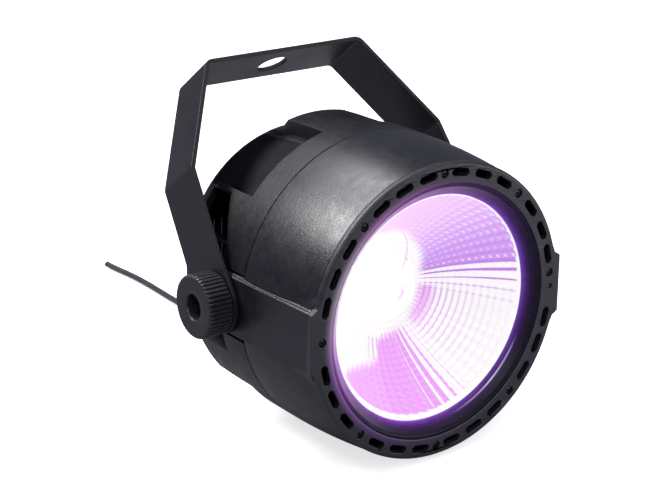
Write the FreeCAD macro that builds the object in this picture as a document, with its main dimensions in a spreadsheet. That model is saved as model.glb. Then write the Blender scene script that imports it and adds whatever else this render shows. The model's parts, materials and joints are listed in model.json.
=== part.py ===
import FreeCAD, Part
import Sketcher
import math
import os
import re
from FreeCAD import Placement, Rotation, Vector

# Par can light on a tilted yoke, with its supply cable trailing behind.
# Head frame used while modelling: X to the right as seen from the front, Y backwards along the
# beam axis from the front face, Z up from the beam axis. node() moves each finished piece into
# the row frame, whose origin is the bottom centre of the whole object.

doc = FreeCAD.newDocument("ParCanLight")
sheet = doc.addObject("Spreadsheet::Sheet", "Sizes")

# alias, value (mm or degrees), note; places are in the head frame
SIZES = [
    # frame
    ("frame_back", 145, "front face to row origin, along the beam axis"),
    ("frame_up", 67.6, "row origin up to the beam axis"),
    # bezel
    ("bezel_radius", 65, "front ring outer radius"),
    ("bezel_inner", 56.2, "front ring inner radius"),
    ("bezel_thick", 3, "front ring thickness"),
    ("slot_circle", 60.65, "radius of the ring of slots and screws"),
    ("slot_length", 9.1, "slot length"),
    ("slot_width", 3.3, "slot width"),
    ("slot_one", 8, "first slot, degrees from the top"),
    ("slot_two", 20, "second slot"),
    ("slot_three", 32.1, "third slot"),
    ("slot_four", 52.1, "fourth slot"),
    ("slot_five", 64.6, "fifth slot"),
    ("slot_six", 76.1, "sixth slot"),
    ("screw_turn", 42, "diagonal bezel screws, degrees from the vertical"),
    ("tab_face", 66.2, "side tab face from the beam axis"),
    ("pad_top", 12.8, "half height of a side pad's flat"),
    ("pad_foot", 14.8, "half height of a side pad's foot"),
    # housings
    ("seam_back", 48.75, "joint between the two housings"),
    ("seam_radius", 67.6, "outer radius at the joint"),
    ("seam_screw", 43.7, "housing screw offset from the axis, across and up"),
    ("belly_radius", 67.1, "outer radius half way along the barrel"),
    ("wall", 2.4, "housing wall"),
    ("pad_front", 66, "pad face at the front, from the beam axis"),
    ("pad_rear", 67.4, "pad face from the joint backwards"),
    ("pad_end", 82, "rear end of the pads"),
    ("pivot_back", 63.4, "tilt axis behind the front face"),
    ("shelf_front", 40.5, "heat sink shelf"),
    ("rim_back", 109, "rear face"),
    ("rim_radius", 56.5, "rear rim outer radius"),
    # yoke
    ("strip_width", 27.7, "yoke strip width"),
    ("strip_thick", 2, "yoke strip thickness"),
    ("arm_x", 69.1, "centre of an arm from the middle"),
    ("kink_up", 17, "height above the tilt axis where an arm starts to lean in"),
    ("bend_x", 66.5, "centre of an arm from the middle at the bend"),
    ("bend_up", 56, "bend height above the tilt axis"),
    ("top_half", 40.9, "half length of the top bar, along its centre line"),
    ("top_up", 101.9, "top bar height above the tilt axis"),
    ("lean", 37.2, "yoke lean behind the upright, degrees"),
    ("hang_radius", 7, "hanging hole radius"),
    ("pivot_hole", 4.08, "pivot hole radius in the yoke"),
    # knobs
    ("knob_radius", 13.9, "knob radius"),
    ("knob_back", 70.4, "knob rear face from the middle"),
    ("knob_face", 81.9, "knob outer face from the middle"),
    ("stud_radius", 4, "clamp stud radius"),
    ("stud_end", 54, "inner end of the stud from the middle"),
    ("insert_radius", 5.5, "threaded insert radius"),
    # optics
    ("aperture_radius", 49.8, "reflector rim radius"),
    ("aperture_back", 7.4, "reflector rim behind the front face"),
    ("lens_radius", 15, "collecting lens radius"),
    ("lens_back", 37.2, "flat side of the collecting lens"),
    ("cob_front", 40.4, "front of the emitter's board"),
    ("led_screw", 11.5, "LED screw offset from the axis, across and up"),
    # cooling
    ("sink_front", 43, "front face of the heat sink"),
    ("sink_base", 4.5, "heat sink plate thickness"),
    ("sink_screw", 35, "heat sink screw offset from the axis, across and up"),
    ("wire_up", 40.5, "LED wire run above the axis"),
    ("fan_side", 60, "fan frame side"),
    ("fan_front", 64, "fan frame front"),
    ("fan_deep", 12, "fan frame depth"),
    ("fan_bore", 28.6, "fan duct radius"),
    ("fan_pitch", 25, "fan screw offset from the axis"),
    # electronics
    ("board_thick", 1.6, "circuit board thickness"),
    ("power_front", 84, "power board front face"),
    ("control_front", 98, "control board front face"),
    ("post_x", 34.5, "power board screw offset to the side"),
    ("post_low", 11, "lower power board screws above the axis"),
    ("post_high", 36, "upper power board screws above the axis"),
    ("mic_x", -30.5, "microphone offset to the side"),
    ("mic_up", 3, "microphone above the axis"),
    # rear panel
    ("cover_front", 105.5, "rear cover inner face"),
    ("cover_radius", 53.9, "rear cover radius"),
    ("cover_screw", 48.5, "rear cover screw circle radius"),
    ("button_radius", 3.2, "button radius"),
    ("button_up", 11, "button row above the axis"),
    ("display_up", 29, "display above the axis"),
    ("socket_x", 22, "data socket offset to the side"),
    ("socket_up", -15, "data socket offset from the axis"),
    ("socket_hole_x", 10, "socket screw offset to the side of its socket"),
    ("socket_hole_up", 12.4, "socket screw offset in height from its socket"),
    ("carrier_front", 90.5, "front of the socket inserts"),
    ("pin_circle", 4.6, "radius of the circle of pins"),
    ("gland_x", 7, "cable outlet offset to the side"),
    ("gland_up", -40, "cable outlet offset from the axis"),
    ("cable_radius", 1.5, "supply cable radius"),
]
for line, (alias, value, note) in enumerate(SIZES, 1):
    sheet.set(f"A{line}", note)
    sheet.set(f"B{line}", str(value))
    sheet.setAlias(f"B{line}", alias)
doc.recompute()

ALIASES = {alias for alias, _, _ in SIZES}
WORD = re.compile(r"[a-z_]+")

# derived places, as short-form expressions
SINK_BACK = "sink_front + sink_base"
POWER_BACK = "power_front + board_thick"
CONTROL_BACK = "control_front + board_thick"

# rotations from a piece's local frame to the head frame
FLAT = Rotation()
BACK = Rotation(Vector(1, 0, 0), -90)  # local Z runs backwards, local -Y is up
FORWARD = Rotation(Vector(1, 0, 0), 90)  # local Z runs forwards
RIGHT = Rotation(Vector(0, 1, 0), 90)  # local Z runs to the right
LEFT = Rotation(Vector(0, 1, 0), -90)  # local Z runs to the left

CENTRE = Vector(0, 0, 0)
BEAM = Vector(0, 1, 0)
NODES = []


# ---- expressions and placement


def text(value):
    """A short-form expression, in which cells are named bare."""
    return value if isinstance(value, str) else repr(float(value))


def bound(value):
    """The full expression over the sheet."""
    return WORD.sub(lambda m: "Sizes." + m[0] if m[0] in ALIASES else m[0], text(value))


def num(value):
    if isinstance(value, str):
        result = sheet.evalExpression(bound(value))
        return float(getattr(result, "Value", result))
    return float(value)


def minus(value):
    return f"-({value})" if isinstance(value, str) else -value


def drive(obj, prop, value):
    """Bind a property to the sheet, or set it where the size is a plain number."""
    if isinstance(value, str):
        obj.setExpression(prop, bound(value))
    else:
        setattr(obj, prop, value)


def put(obj, rotation=FLAT, at=(0, 0, 0)):
    obj.Placement = Placement(CENTRE, rotation)
    for axis, place in zip("xyz", at):
        obj.setExpression(".Placement.Base." + axis, bound(place))
    return obj


def node(obj, label, rotation=FLAT, at=(0, 0, 0)):
    """Label a finished piece and move it from the head frame into the row frame."""
    obj.Label = label
    x, y, z = map(text, at)
    put(obj, rotation, (x, f"({y}) - frame_back", f"({z}) + frame_up"))
    NODES.append(obj)


# ---- sketches and part design features


def new_body(name):
    return doc.addObject("PartDesign::Body", name)


def origin_part(body, role):
    return [o for o in body.Origin.OriginFeatures if o.Role == role][0]


def sketch(body, role, name, lift=None):
    sk = body.newObject("Sketcher::SketchObject", name)
    sk.AttachmentSupport = [(origin_part(body, role), "")]
    sk.MapMode = "FlatFace"
    if lift is not None:
        sk.setExpression(".AttachmentOffset.Base.z", bound(lift))
    return sk


def bind_constraint(sk, index, value):
    if isinstance(value, str):
        sk.setExpression(f"Constraints[{index}]", bound(value))


def hold(sk, geo, pos, x, y):
    """Fix a point of the geometry at a distance from the sketch origin."""
    for kind, value in (("DistanceX", x), ("DistanceY", y)):
        index = sk.addConstraint(Sketcher.Constraint(kind, -1, 1, geo, pos, num(value)))
        bind_constraint(sk, index, value)


def add_arc(sk, start, mid, end):
    """An arc through three points; returns the positions of its start and end."""
    curve = Part.Arc(start, mid, end).toShape().Curve
    centre, radius = curve.Center, curve.Radius
    first, middle, last = (math.atan2(p.y - centre.y, p.x - centre.x) for p in (start, mid, end))
    full = 2 * math.pi
    forward = (middle - first) % full < (last - first) % full
    if not forward:
        first, last = last, first
    if last <= first:
        last += full
    circle = Part.Circle(centre, Vector(0, 0, 1), radius)
    geo = sk.addGeometry(Part.ArcOfCircle(circle, first, last), False)
    sk.addConstraint(Sketcher.Constraint("Radius", geo, radius))
    return (1, 2) if forward else (2, 1)


def loop(sk, points, arcs=None):
    """A closed outline. arcs maps an edge number to the point its arc passes through."""
    arcs = arcs or {}
    first = sk.GeometryCount
    spots = [Vector(num(x), num(y), 0) for x, y in points]
    ends = []
    count = len(spots)
    for i in range(count):
        start, end = spots[i], spots[(i + 1) % count]
        if i in arcs:
            mid = Vector(num(arcs[i][0]), num(arcs[i][1]), 0)
            ends.append(add_arc(sk, start, mid, end))
        else:
            sk.addGeometry(Part.LineSegment(start, end), False)
            ends.append((1, 2))
    for i in range(count):
        j = (i + 1) % count
        sk.addConstraint(
            Sketcher.Constraint("Coincident", first + i, ends[i][1], first + j, ends[j][0])
        )
    for i in range(count):
        hold(sk, first + i, ends[i][0], *points[i])
    return sk


def rings(sk, items):
    """Circles given as (x, y, radius) in the sketch."""
    for x, y, radius in items:
        circle = Part.Circle(Vector(num(x), num(y), 0), Vector(0, 0, 1), num(radius))
        geo = sk.addGeometry(circle, False)
        hold(sk, geo, 3, x, y)
        index = sk.addConstraint(Sketcher.Constraint("Radius", geo, num(radius)))
        bind_constraint(sk, index, radius)
    return sk


def slab(x0, y0, x1, y1):
    return [(x0, y0), (x1, y0), (x1, y1), (x0, y1)]


def turn(body, points, arcs=None):
    """Revolve a profile of (radius, place along local Z) about local Z."""
    sk = sketch(body, "XZ_Plane", body.Name + "_profile")
    loop(sk, points, arcs)
    feature = body.newObject("PartDesign::Revolution", body.Name + "_turn")
    feature.Profile = sk
    feature.ReferenceAxis = (sk, ["V_Axis"])
    feature.Angle = 360


def pad(body, sk, length, both=False):
    feature = body.newObject("PartDesign::Pad", body.Name + "_pad")
    feature.Profile = sk
    drive(feature, "Length", length)
    feature.Midplane = both
    return feature


def pocket(body, sk, length, reverse=False, both=False):
    """Cut against the sketch normal, along it when reversed."""
    feature = body.newObject("PartDesign::Pocket", body.Name + "_pocket")
    feature.Profile = sk
    drive(feature, "Length", length)
    feature.Reversed = reverse
    feature.Midplane = both
    return feature


def bosses(body, name, lift, circles, length):
    pad(body, rings(sketch(body, "XY_Plane", name, lift), circles), length)


def bores(body, name, lift, circles, depth, reverse=True):
    """Round pockets cut along local Z, or against it when not reversed."""
    pocket(body, rings(sketch(body, "XY_Plane", name, lift), circles), depth, reverse)


def mirror(body, features):
    feature = body.newObject("PartDesign::Mirrored", body.Name + "_mirror")
    feature.Originals = features
    feature.MirrorPlane = (origin_part(body, "YZ_Plane"), [""])
    body.Tip = feature


def polar(body, name, original, count):
    feature = body.newObject("PartDesign::PolarPattern", name)
    feature.Originals = [original]
    feature.Axis = (origin_part(body, "Z_Axis"), [""])
    feature.Angle = 360
    feature.Occurrences = count
    body.Tip = feature


def turned_piece(name, label, profile, arcs=None, way=BACK, at=(0, 0, 0)):
    body = new_body(name)
    turn(body, profile, arcs)
    node(body, label, way, at)


# ---- primitives, booleans and plain shapes, in the head frame


def rod(name, radius, length, at=(0, 0, 0)):
    """A cylinder running backwards from the point."""
    cylinder = doc.addObject("Part::Cylinder", name)
    drive(cylinder, "Radius", radius)
    drive(cylinder, "Height", length)
    return put(cylinder, BACK, at)


def box_corner(wide, high, at):
    x, y, z = map(text, at)
    return f"({x}) - ({wide}) / 2", y, f"({z}) - ({high}) / 2"


def block(name, wide, deep, high, at):
    """A box centred across at the point, running backwards and centred in height."""
    box = doc.addObject("Part::Box", name)
    drive(box, "Length", wide)
    drive(box, "Width", deep)
    drive(box, "Height", high)
    return put(box, FLAT, box_corner(wide, high, at))


def block_piece(name, label, wide, deep, high, at):
    node(block(name, wide, deep, high, at), label, FLAT, box_corner(wide, high, at))


def cut(name, base, *tools):
    for step, tool in enumerate(tools, 1):
        result = doc.addObject("Part::Cut", name if step == len(tools) else f"{name}_step{step}")
        result.Base = base
        result.Tool = tool
        base = result
    return base


def join(name, *objects):
    fuse = doc.addObject("Part::MultiFuse", name)
    fuse.Shapes = list(objects)
    return fuse


def together(name, objects):
    compound = doc.addObject("Part::Compound", name)
    compound.Links = list(objects)
    return compound


def made(name, shape):
    feature = doc.addObject("Part::Feature", name)
    feature.Shape = shape
    return feature


def face(points):
    return Part.Face(Part.makePolygon(points + points[:1]))


def drill(radius, length, x, y, z):
    return Part.makeCylinder(radius, length, Vector(x, y, z), BEAM)


# ---- screws and the spots they share; a spot is (x, z) in the head frame


def pan_screw(name, head_radius, head_high, radius, length):
    """A pan-head screw whose local Z runs out of its head; the seat is at zero."""
    screw = new_body(name)
    turn(screw, [
        (0, -length),
        (radius * 0.7, -length),
        (radius, -length + 0.8),
        (radius, 0),
        (head_radius, 0),
        (head_radius, head_high * 0.45),
        (head_radius * 0.72, head_high),
        (0, head_high),
    ])
    arm, half = head_radius * 0.55, head_radius * 0.14
    quarter = [(arm, -half), (arm, half), (half, half)]
    cross = []
    for _ in range(4):
        cross += quarter
        quarter = [(-y, x) for x, y in quarter]
    sk = sketch(screw, "XY_Plane", name + "_cross", head_high)
    pocket(screw, loop(sk, cross), head_high * 0.6)
    return screw


def screws(label, spots, seat, way, **form):
    """One piece of identical screws at the spots, their heads looking along way."""
    template = pan_screw(label + "_form", **form)
    doc.recompute()
    solids = []
    for x, z in spots:
        solid = template.Shape.copy()
        solid.Placement = Placement(Vector(num(x), num(seat), num(z)), way)
        solids.append(solid)
    node(made(label + "_set", Part.makeCompound(solids)), label)


def ring_spot(radius, degrees):
    """A spot on a circle about the beam axis, measured from the top towards +X."""
    turned = math.radians(degrees)
    return num(radius) * math.sin(turned), num(radius) * math.cos(turned)


def square(offset):
    return [(f"{offset} * {sx}", f"{offset} * {sz}") for sx in (1, -1) for sz in (1, -1)]


def circles_at(spots, radius):
    """Circles at the spots, for a sketch whose -Y is up."""
    return [(x, minus(z), radius) for x, z in spots]


DIAGONAL = num("screw_turn")
# the screw on the right sits a little above the level of the axis
BEZEL_SCREWS = [
    ring_spot("slot_circle", degrees)
    for degrees in (
        0, DIAGONAL, 84.6, 180 - DIAGONAL, 180, 180 + DIAGONAL, 270, 360 - DIAGONAL,
    )
]
SEAM_SCREWS = square("seam_screw")
SINK_SCREWS = square("sink_screw")
FAN_SCREWS = square("fan_pitch")
LED_SCREWS = [("led_screw", "led_screw"), ("-led_screw", "-led_screw")]
BOARD_SCREWS = [(x, z) for x in ("post_x", "-post_x") for z in ("post_low", "post_high")]
COVER_SCREWS = [("cover_screw", 0), ("-cover_screw", 0), (0, "cover_screw"), (0, "-cover_screw")]
BUTTONS = [("menu_button", 18), ("down_button", 6), ("up_button", -6), ("enter_button", -18)]
PRONGS = [ring_spot("pin_circle", degrees) for degrees in (90, 180, 270)]


# ---- front bezel: slotted ring with two side tabs


def bezel_slots():
    half_length, half_width, nip = num("slot_length") / 2, num("slot_width") / 2, 1.1
    short, low = half_length - nip, half_width - nip
    # (x, z) about the slot centre: a rectangle with nipped corners
    outline = [
        (-short, -half_width), (short, -half_width), (half_length, -low), (half_length, low),
        (short, half_width), (-short, half_width), (-half_length, low), (-half_length, -low),
    ]
    slots = []
    for name in ("slot_one", "slot_two", "slot_three", "slot_four", "slot_five", "slot_six"):
        turned = num(name)
        for degrees in (turned, 180 - turned, 180 + turned, 360 - turned):
            points = [Vector(x, -1, num("slot_circle") + z) for x, z in outline]
            slot = face(points).extrude(Vector(0, 6, 0))
            slot.rotate(CENTRE, BEAM, degrees)
            slots.append(slot)
    return slots


def front_bezel():
    bezel = new_body("bezel_ring")
    profile = [
        ("bezel_inner", 0.5),
        ("bezel_inner + 0.5", 0),
        ("bezel_radius - 1.5", 0),
        ("bezel_radius", 1.5),
        ("bezel_radius", "bezel_thick"),
        ("bezel_inner", "bezel_thick"),
    ]
    turn(bezel, profile, {2: ("bezel_radius - 0.44", 0.44)})
    sk = sketch(bezel, "XY_Plane", "bezel_tabs")
    loop(sk, slab("bezel_inner + 3", "-pad_top", "tab_face", "pad_top"))
    loop(sk, slab("-tab_face", "-pad_top", "-bezel_inner - 3", "pad_top"))
    pad(bezel, sk, "bezel_thick")
    put(bezel, BACK)

    tools = bezel_slots()
    for x, z in BEZEL_SCREWS:
        tools.append(drill(1.2, 6, x, -1, z))
        tools.append(drill(1.9, 2.8, x, -1, z))
    # a blind hole just below the screw on the right
    x, z = ring_spot("slot_circle", 91.5)
    tools.append(drill(1.3, 2.4, x, -1, z))
    node(cut("bezel_cut", bezel, made("bezel_openings", Part.makeCompound(tools))), "front_bezel")


def bezel_screws():
    screws("bezel_screws", BEZEL_SCREWS, 1.8, FORWARD,
           head_radius=1.7, head_high=1.1, radius=1.1, length=11.4)


# ---- housings


def side_pad(shell):
    """The right-hand pad, lofted through three sections."""
    sections = []
    stations = (("bezel_thick", "pad_front"), ("seam_back", "pad_rear"), ("pad_end", "pad_rear"))
    for i, (lift, outside) in enumerate(stations):
        sk = sketch(shell, "XY_Plane", f"pad_section{i}", lift)
        loop(sk, [
            (61, "-pad_foot"), (outside + " - 1.5", "-pad_foot"), (outside, "-pad_top"),
            (outside, "pad_top"), (outside + " - 1.5", "pad_foot"), (61, "pad_foot"),
        ])
        sections.append(sk)
    loft = shell.newObject("PartDesign::AdditiveLoft", "pad_loft")
    loft.Profile = sections[0]
    loft.Sections = sections[1:]
    loft.Ruled = True
    return loft


def front_housing():
    """Tapered barrel with side pads that run on past the joint, and an inner shelf."""
    shell = new_body("front_shell")
    profile = [
        ("bezel_radius - 0.1", "bezel_thick"),
        ("seam_radius", "seam_back"),
        ("seam_radius - wall", "seam_back"),
        ("seam_radius - wall - 0.2", "sink_front"),
        (47, "sink_front"),
        (47, "shelf_front"),
        ("seam_radius - wall - 0.4", "shelf_front"),
        ("bezel_radius - 0.1 - wall", "bezel_thick"),
    ]
    turn(shell, profile, {0: ("belly_radius", 26)})
    bosses(shell, "bezel_boss", "bezel_thick", circles_at(BEZEL_SCREWS, 3.1), 12.5)
    bosses(shell, "sink_boss", 32, circles_at(SINK_SCREWS, 3.6), 8.6)
    bosses(shell, "seam_boss", 36, circles_at(SEAM_SCREWS, 3.5), "seam_back - 36")
    loft = side_pad(shell)
    sk = sketch(shell, "YZ_Plane", "insert_boss", 51)
    boss = pad(shell, rings(sk, [(0, "pivot_back", 8.5)]), 11)
    mirror(shell, [loft, boss])

    sk = sketch(shell, "YZ_Plane", "insert_bore")
    pocket(shell, rings(sk, [(0, "pivot_back", "insert_radius")]), 160, both=True)
    bores(shell, "bezel_screw_bore", "bezel_thick", circles_at(BEZEL_SCREWS, 1.15), 11)
    bores(shell, "sink_screw_bore", "sink_front", circles_at(SINK_SCREWS, 1.3), 9, reverse=False)
    bores(shell, "seam_screw_bore", "seam_back", circles_at(SEAM_SCREWS, 1.3), 11, reverse=False)

    # the flats that let the yoke arms pass: tapered along the pads, straight above and below
    sk = sketch(shell, "XZ_Plane", "pad_flat")
    loop(sk, [
        ("pad_front", "bezel_thick"), ("pad_rear", "seam_back"), ("pad_rear", 95),
        (90, 95), (90, "bezel_thick"),
    ])
    loop(sk, [
        ("-pad_front", "bezel_thick"), (-90, "bezel_thick"), (-90, 95),
        ("-pad_rear", 95), ("-pad_rear", "seam_back"),
    ])
    pocket(shell, sk, "2 * pad_top", both=True)
    sk = sketch(shell, "XY_Plane", "side_flat", "bezel_thick")
    loop(sk, slab("pad_rear", -40, 90, 40))
    loop(sk, slab(-90, -40, "-pad_rear", 40))
    pocket(shell, sk, 100, reverse=True)
    node(shell, "front_housing", BACK)


# (back, radius) section of the ring removed outside a pocket's floor
POCKET_SECTION = [
    (61.4, 64), (58.9, 90), (57.5, 98), (57.9, 106), (56.6, 112), (80, 112), (80, 64),
]
POCKET_SECTION = [(back, radius) for radius, back in POCKET_SECTION]
# start and end in degrees from the top towards +X, and whether above (1) or below (-1) the axis
POCKETS = [(9.5, 50.2, 1), (130, 170.5, -1)]
# degrees from the top, half width, front edge on the upper side, front edge on the lower side
WINDOWS = [(60.2, 9.3, 78, 66), (73.6, 3.7, 66, 66), (106.9, 5.4, 67, 67)]
WINDOW_REAR = 102.5


def pocket_sector(start, end):
    """The ring sector outside the pocket floor between two angles from the top towards +X."""
    section = face([Vector(0, back, radius) for back, radius in POCKET_SECTION])
    sector = section.revolve(CENTRE, BEAM, end - start)
    sector.rotate(CENTRE, BEAM, start)
    return sector


def lobe_wall(side, updown):
    """The part of a pocket tool on the lobe's side of its leaning wall."""
    top_x, top_z = ring_spot(66.5, 13.2)
    foot_x, foot_z = ring_spot(59.5, 16.4)
    dx, dz = top_x - foot_x, top_z - foot_z
    far_x, far_z = top_x + 2 * dx, top_z + 2 * dz
    deep_x, deep_z = foot_x - dx, foot_z - dz
    outline = [(far_x, far_z), (deep_x, deep_z), (0, deep_z), (0, far_z)]
    return face([Vector(side * x, 60, updown * z) for x, z in outline]).extrude(Vector(0, 60, 0))


def window(side, degrees, half, upper_front, lower_front):
    """A through window; its front edge may slant."""
    near, far = (upper_front, lower_front)[::side]
    outline = [(-half, near), (half, far), (half, WINDOW_REAR), (-half, WINDOW_REAR)]
    tool = face([Vector(x, y, 48) for x, y in outline]).extrude(Vector(0, 0, 30))
    tool.rotate(CENTRE, BEAM, side * degrees)
    return tool


def side_box(side, inner, deep, half_high):
    """A box from just before the joint backwards, outside a plane on one side."""
    wide = 20
    corner = Vector(inner if side > 0 else -inner - wide, num("seam_back") - 1, -half_high)
    return Part.makeBox(wide, deep, 2 * half_high, corner)


def drum_openings():
    tools = []
    for side in (1, -1):
        for start, end, updown in POCKETS:
            low, high = (start, end) if side > 0 else (360 - end, 360 - start)
            tools.append(pocket_sector(low, high).cut(lobe_wall(side, updown)))
        tools += [window(side, *row) for row in WINDOWS]
        # room for the front housing's pad, then the side flat
        pad_length = num("pad_end") - num("seam_back")
        tools.append(side_box(side, 60.8, pad_length + 1.3, num("pad_foot") + 0.2))
        tools.append(side_box(side, num("pad_rear"), 80, 40))
        # room for the boss around the threaded insert
        start = Vector(side * 50, num("pivot_back"), 0)
        tools.append(Part.makeCylinder(8.8, 14, start, Vector(side, 0, 0)))
    return Part.makeCompound(tools)


def rear_housing():
    """Drum with raised lobes, shallow pockets and vent windows."""
    front = "seam_back + 0.15"
    drum = new_body("rear_drum")
    turn(drum, [
        ("seam_radius", front),
        (67.5, 62),
        (67.1, 80),
        (66.6, 90.5),
        (59.8, 98),
        ("rim_radius + 1.2", 105),
        ("rim_radius", "rim_back"),
        ("cover_radius + 0.1", "rim_back"),
        ("cover_radius + 0.1", 105),
        (55.6, 98),
        (59, 65.5),
        (64.4, 61),
        ("seam_radius - wall", front),
    ])
    bosses(drum, "rear_seam_boss", front, circles_at(SEAM_SCREWS, 3.5), 8)
    inner, outer, half = 45.3, 57, 3.4
    sk = sketch(drum, "XY_Plane", "cover_boss", 93)
    loop(sk, slab(inner, -half, outer, half))
    loop(sk, slab(-outer, -half, -inner, half))
    loop(sk, slab(-half, inner, half, outer))
    loop(sk, slab(-half, -outer, half, -inner))
    pad(drum, sk, 12.4)
    bores(drum, "cover_screw_bore", "cover_front - 0.1", circles_at(COVER_SCREWS, 1.3), 11,
          reverse=False)
    bores(drum, "rear_seam_bore", "seam_back", circles_at(SEAM_SCREWS, 1.6), 12)
    put(drum, BACK)
    node(cut("drum_cut", drum, made("drum_openings", drum_openings())), "rear_housing")


def housing_screws():
    screws("housing_screws", SEAM_SCREWS, "seam_back + 8.15", BACK,
           head_radius=2.8, head_high=1.8, radius=1.25, length=17)


# ---- optics


def trim_collar():
    turned_piece("collar_ring", "trim_collar", [
        (56, 0.9), (55.1, 0.9), (51.2, 6.3), (50.3, 6.5), (50.3, 7.9),
        (51.6, 7.9), (55.4, 4.7), (57.3, 4.7), (57.3, 3.1), (56, 3.1),
    ])


def reflector():
    rim_radius, rim_y = num("aperture_radius"), num("aperture_back")
    base_radius, base_y = num("lens_radius") + 0.4, num("lens_back") - 0.3
    flange_y, flange_thick = 8, 1.1
    outside_y = 8.2  # where the outside starts to follow the hollow
    sides, steps, outside_steps = 60, 8, 24

    def bowl_radius(y):
        fall = (rim_radius**2 - base_radius**2) * (y - rim_y) / (base_y - rim_y)
        return math.sqrt(rim_radius**2 - fall)

    # the faceted hollow: a ruled loft through regular polygons
    wires = []
    for k in range(steps + 1):
        y = rim_y + (base_y - rim_y) * k / steps
        corner_radius = bowl_radius(y) / math.cos(math.pi / sides)
        corners = []
        for i in list(range(sides)) + [0]:
            turned = 2 * math.pi * i / sides
            x, z = corner_radius * math.sin(turned), corner_radius * math.cos(turned)
            corners.append(Vector(x, y, z))
        wires.append(Part.makePolygon(corners))

    outline = [
        Vector(0, rim_y, 0),
        Vector(rim_radius + 0.4, rim_y, 0),
        Vector(rim_radius + 0.4, outside_y, 0),
    ]
    for k in range(outside_steps + 1):
        y = outside_y + (base_y - outside_y) * k / outside_steps
        outline.append(Vector(bowl_radius(y) + 1.3, y, 0))
    outline.append(Vector(0, base_y, 0))
    outer = face(outline).revolve(CENTRE, BEAM, 360)
    flange = drill(54.6, flange_thick, 0, flange_y, 0)
    hollow = Part.makeLoft(wires, True, True)
    node(made("reflector_bowl", outer.fuse(flange).cut(hollow)), "reflector")


def led_lens():
    profile = [
        (0, 31.2),
        ("lens_radius - 0.6", "lens_back - 1.3"),
        ("lens_radius", "lens_back - 1.3"),
        ("lens_radius", "lens_back"),
        (0, "lens_back"),
    ]
    turned_piece("lens_form", "led_lens", profile, {0: (8, 32.35)})


LED_SINK_DEPTH = 1.7


def led_holder():
    holder = new_body("holder_ring")
    turn(holder, slab(10.6, "lens_back", 18.8, "cob_front"))
    bores(holder, "holder_sink", "lens_back", circles_at(LED_SCREWS, 2.5), LED_SINK_DEPTH)
    bores(holder, "holder_bore", "lens_back", circles_at(LED_SCREWS, 1.3), 6)
    node(holder, "led_holder", BACK)


def led_plate(name, label, thick, front):
    """A square sheet behind the emitter with two screw holes."""
    half = 28 / 2
    plate = new_body(name)
    sk = sketch(plate, "XY_Plane", name + "_outline")
    pad(plate, loop(sk, slab(-half, -half, half, half)), thick)
    bores(plate, name + "_holes", None, circles_at(LED_SCREWS, 1.3), thick + 1)
    node(plate, label, BACK, (0, front, 0))


def emitter():
    emitter_thick, board_thick, pad_thick = 0.9, 1.8, 0.8
    disc = rod("emitter_disc", 9.5, emitter_thick)
    node(disc, "cob_emitter", BACK, (0, f"cob_front - {emitter_thick}", 0))
    led_plate("cob_plate", "cob_board", board_thick, "cob_front")
    led_plate("pad_sheet", "thermal_pad", pad_thick, f"cob_front + {board_thick}")


def led_screws():
    screws("led_screws", LED_SCREWS, f"lens_back + {LED_SINK_DEPTH}", FORWARD,
           head_radius=2.3, head_high=1.4, radius=1.2, length=7.5)


# ---- cooling


def heat_sink():
    fin_pitch, fin_half, fin_reach = 6.8, 1, 46
    sink = new_body("sink_block")
    bosses(sink, "sink_plate", "sink_front", [(0, 0, 52)], "sink_base")
    sk = sketch(sink, "XY_Plane", "sink_fins", SINK_BACK)
    for i in range(-6, 7):
        x = i * fin_pitch
        reach = math.sqrt(fin_reach**2 - (abs(x) + fin_half) ** 2)
        loop(sk, slab(x - fin_half, -reach, x + fin_half, reach))
    pad(sink, sk, 15.5)
    wire_hole = [(0, "wire_up")]
    fins_clear = circles_at(FAN_SCREWS, 4.3) + circles_at(wire_hole, 4.6)
    bores(sink, "sink_clear", SINK_BACK, fins_clear, 30)
    plate_holes = circles_at(SINK_SCREWS, 1.7) + circles_at(wire_hole, 3.4)
    bores(sink, "sink_holes", "sink_front", plate_holes, 5)
    bores(sink, "sink_taps", "sink_front", circles_at(LED_SCREWS, 1.3), 4)
    bores(sink, "sink_fan_taps", SINK_BACK, circles_at(FAN_SCREWS, 1.3), 4, reverse=False)
    node(sink, "heat_sink", BACK)


def heat_sink_screws():
    screws("heat_sink_screws", SINK_SCREWS, SINK_BACK, BACK,
           head_radius=2.7, head_high=1.8, radius=1.25, length=12)


def fan_spacers():
    length = f"fan_front - ({SINK_BACK})"
    tubes = []
    for i, (x, z) in enumerate(FAN_SCREWS):
        outer = rod(f"spacer_out{i}", 3.2, length, (x, SINK_BACK, z))
        inner = rod(f"spacer_in{i}", 1.6, length, (x, SINK_BACK, z))
        tubes.append(cut(f"spacer{i}", outer, inner))
    node(together("spacer_set", tubes), "fan_spacers")


def fan_frame():
    chamfer, strut_thick = 4, 1.5
    fan = new_body("fan_case")
    sk = sketch(fan, "XY_Plane", "fan_outline")
    high, low = "fan_side / 2", "-fan_side / 2"
    in_high, in_low = f"{high} - {chamfer}", f"{low} + {chamfer}"
    loop(sk, [
        (in_high, low), (high, in_low), (high, in_high), (in_high, high),
        (in_low, high), (low, in_high), (low, in_low), (in_low, low),
    ])
    pad(fan, sk, "fan_deep")
    holes = [(0, 0, "fan_bore")] + circles_at(FAN_SCREWS, 1.7)
    bores(fan, "fan_duct", None, holes, "fan_deep + 1")
    strut_front = f"fan_deep - {strut_thick}"
    bosses(fan, "fan_hub", strut_front, [(0, 0, 12.5)], strut_thick)
    sk = sketch(fan, "XY_Plane", "fan_strut", strut_front)
    strut = pad(fan, loop(sk, slab(8, -1.8, "fan_bore + 0.8", 1.8)), strut_thick)
    polar(fan, "fan_struts", strut, 4)
    node(fan, "fan_frame", BACK, (0, "fan_front", 0))


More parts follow.
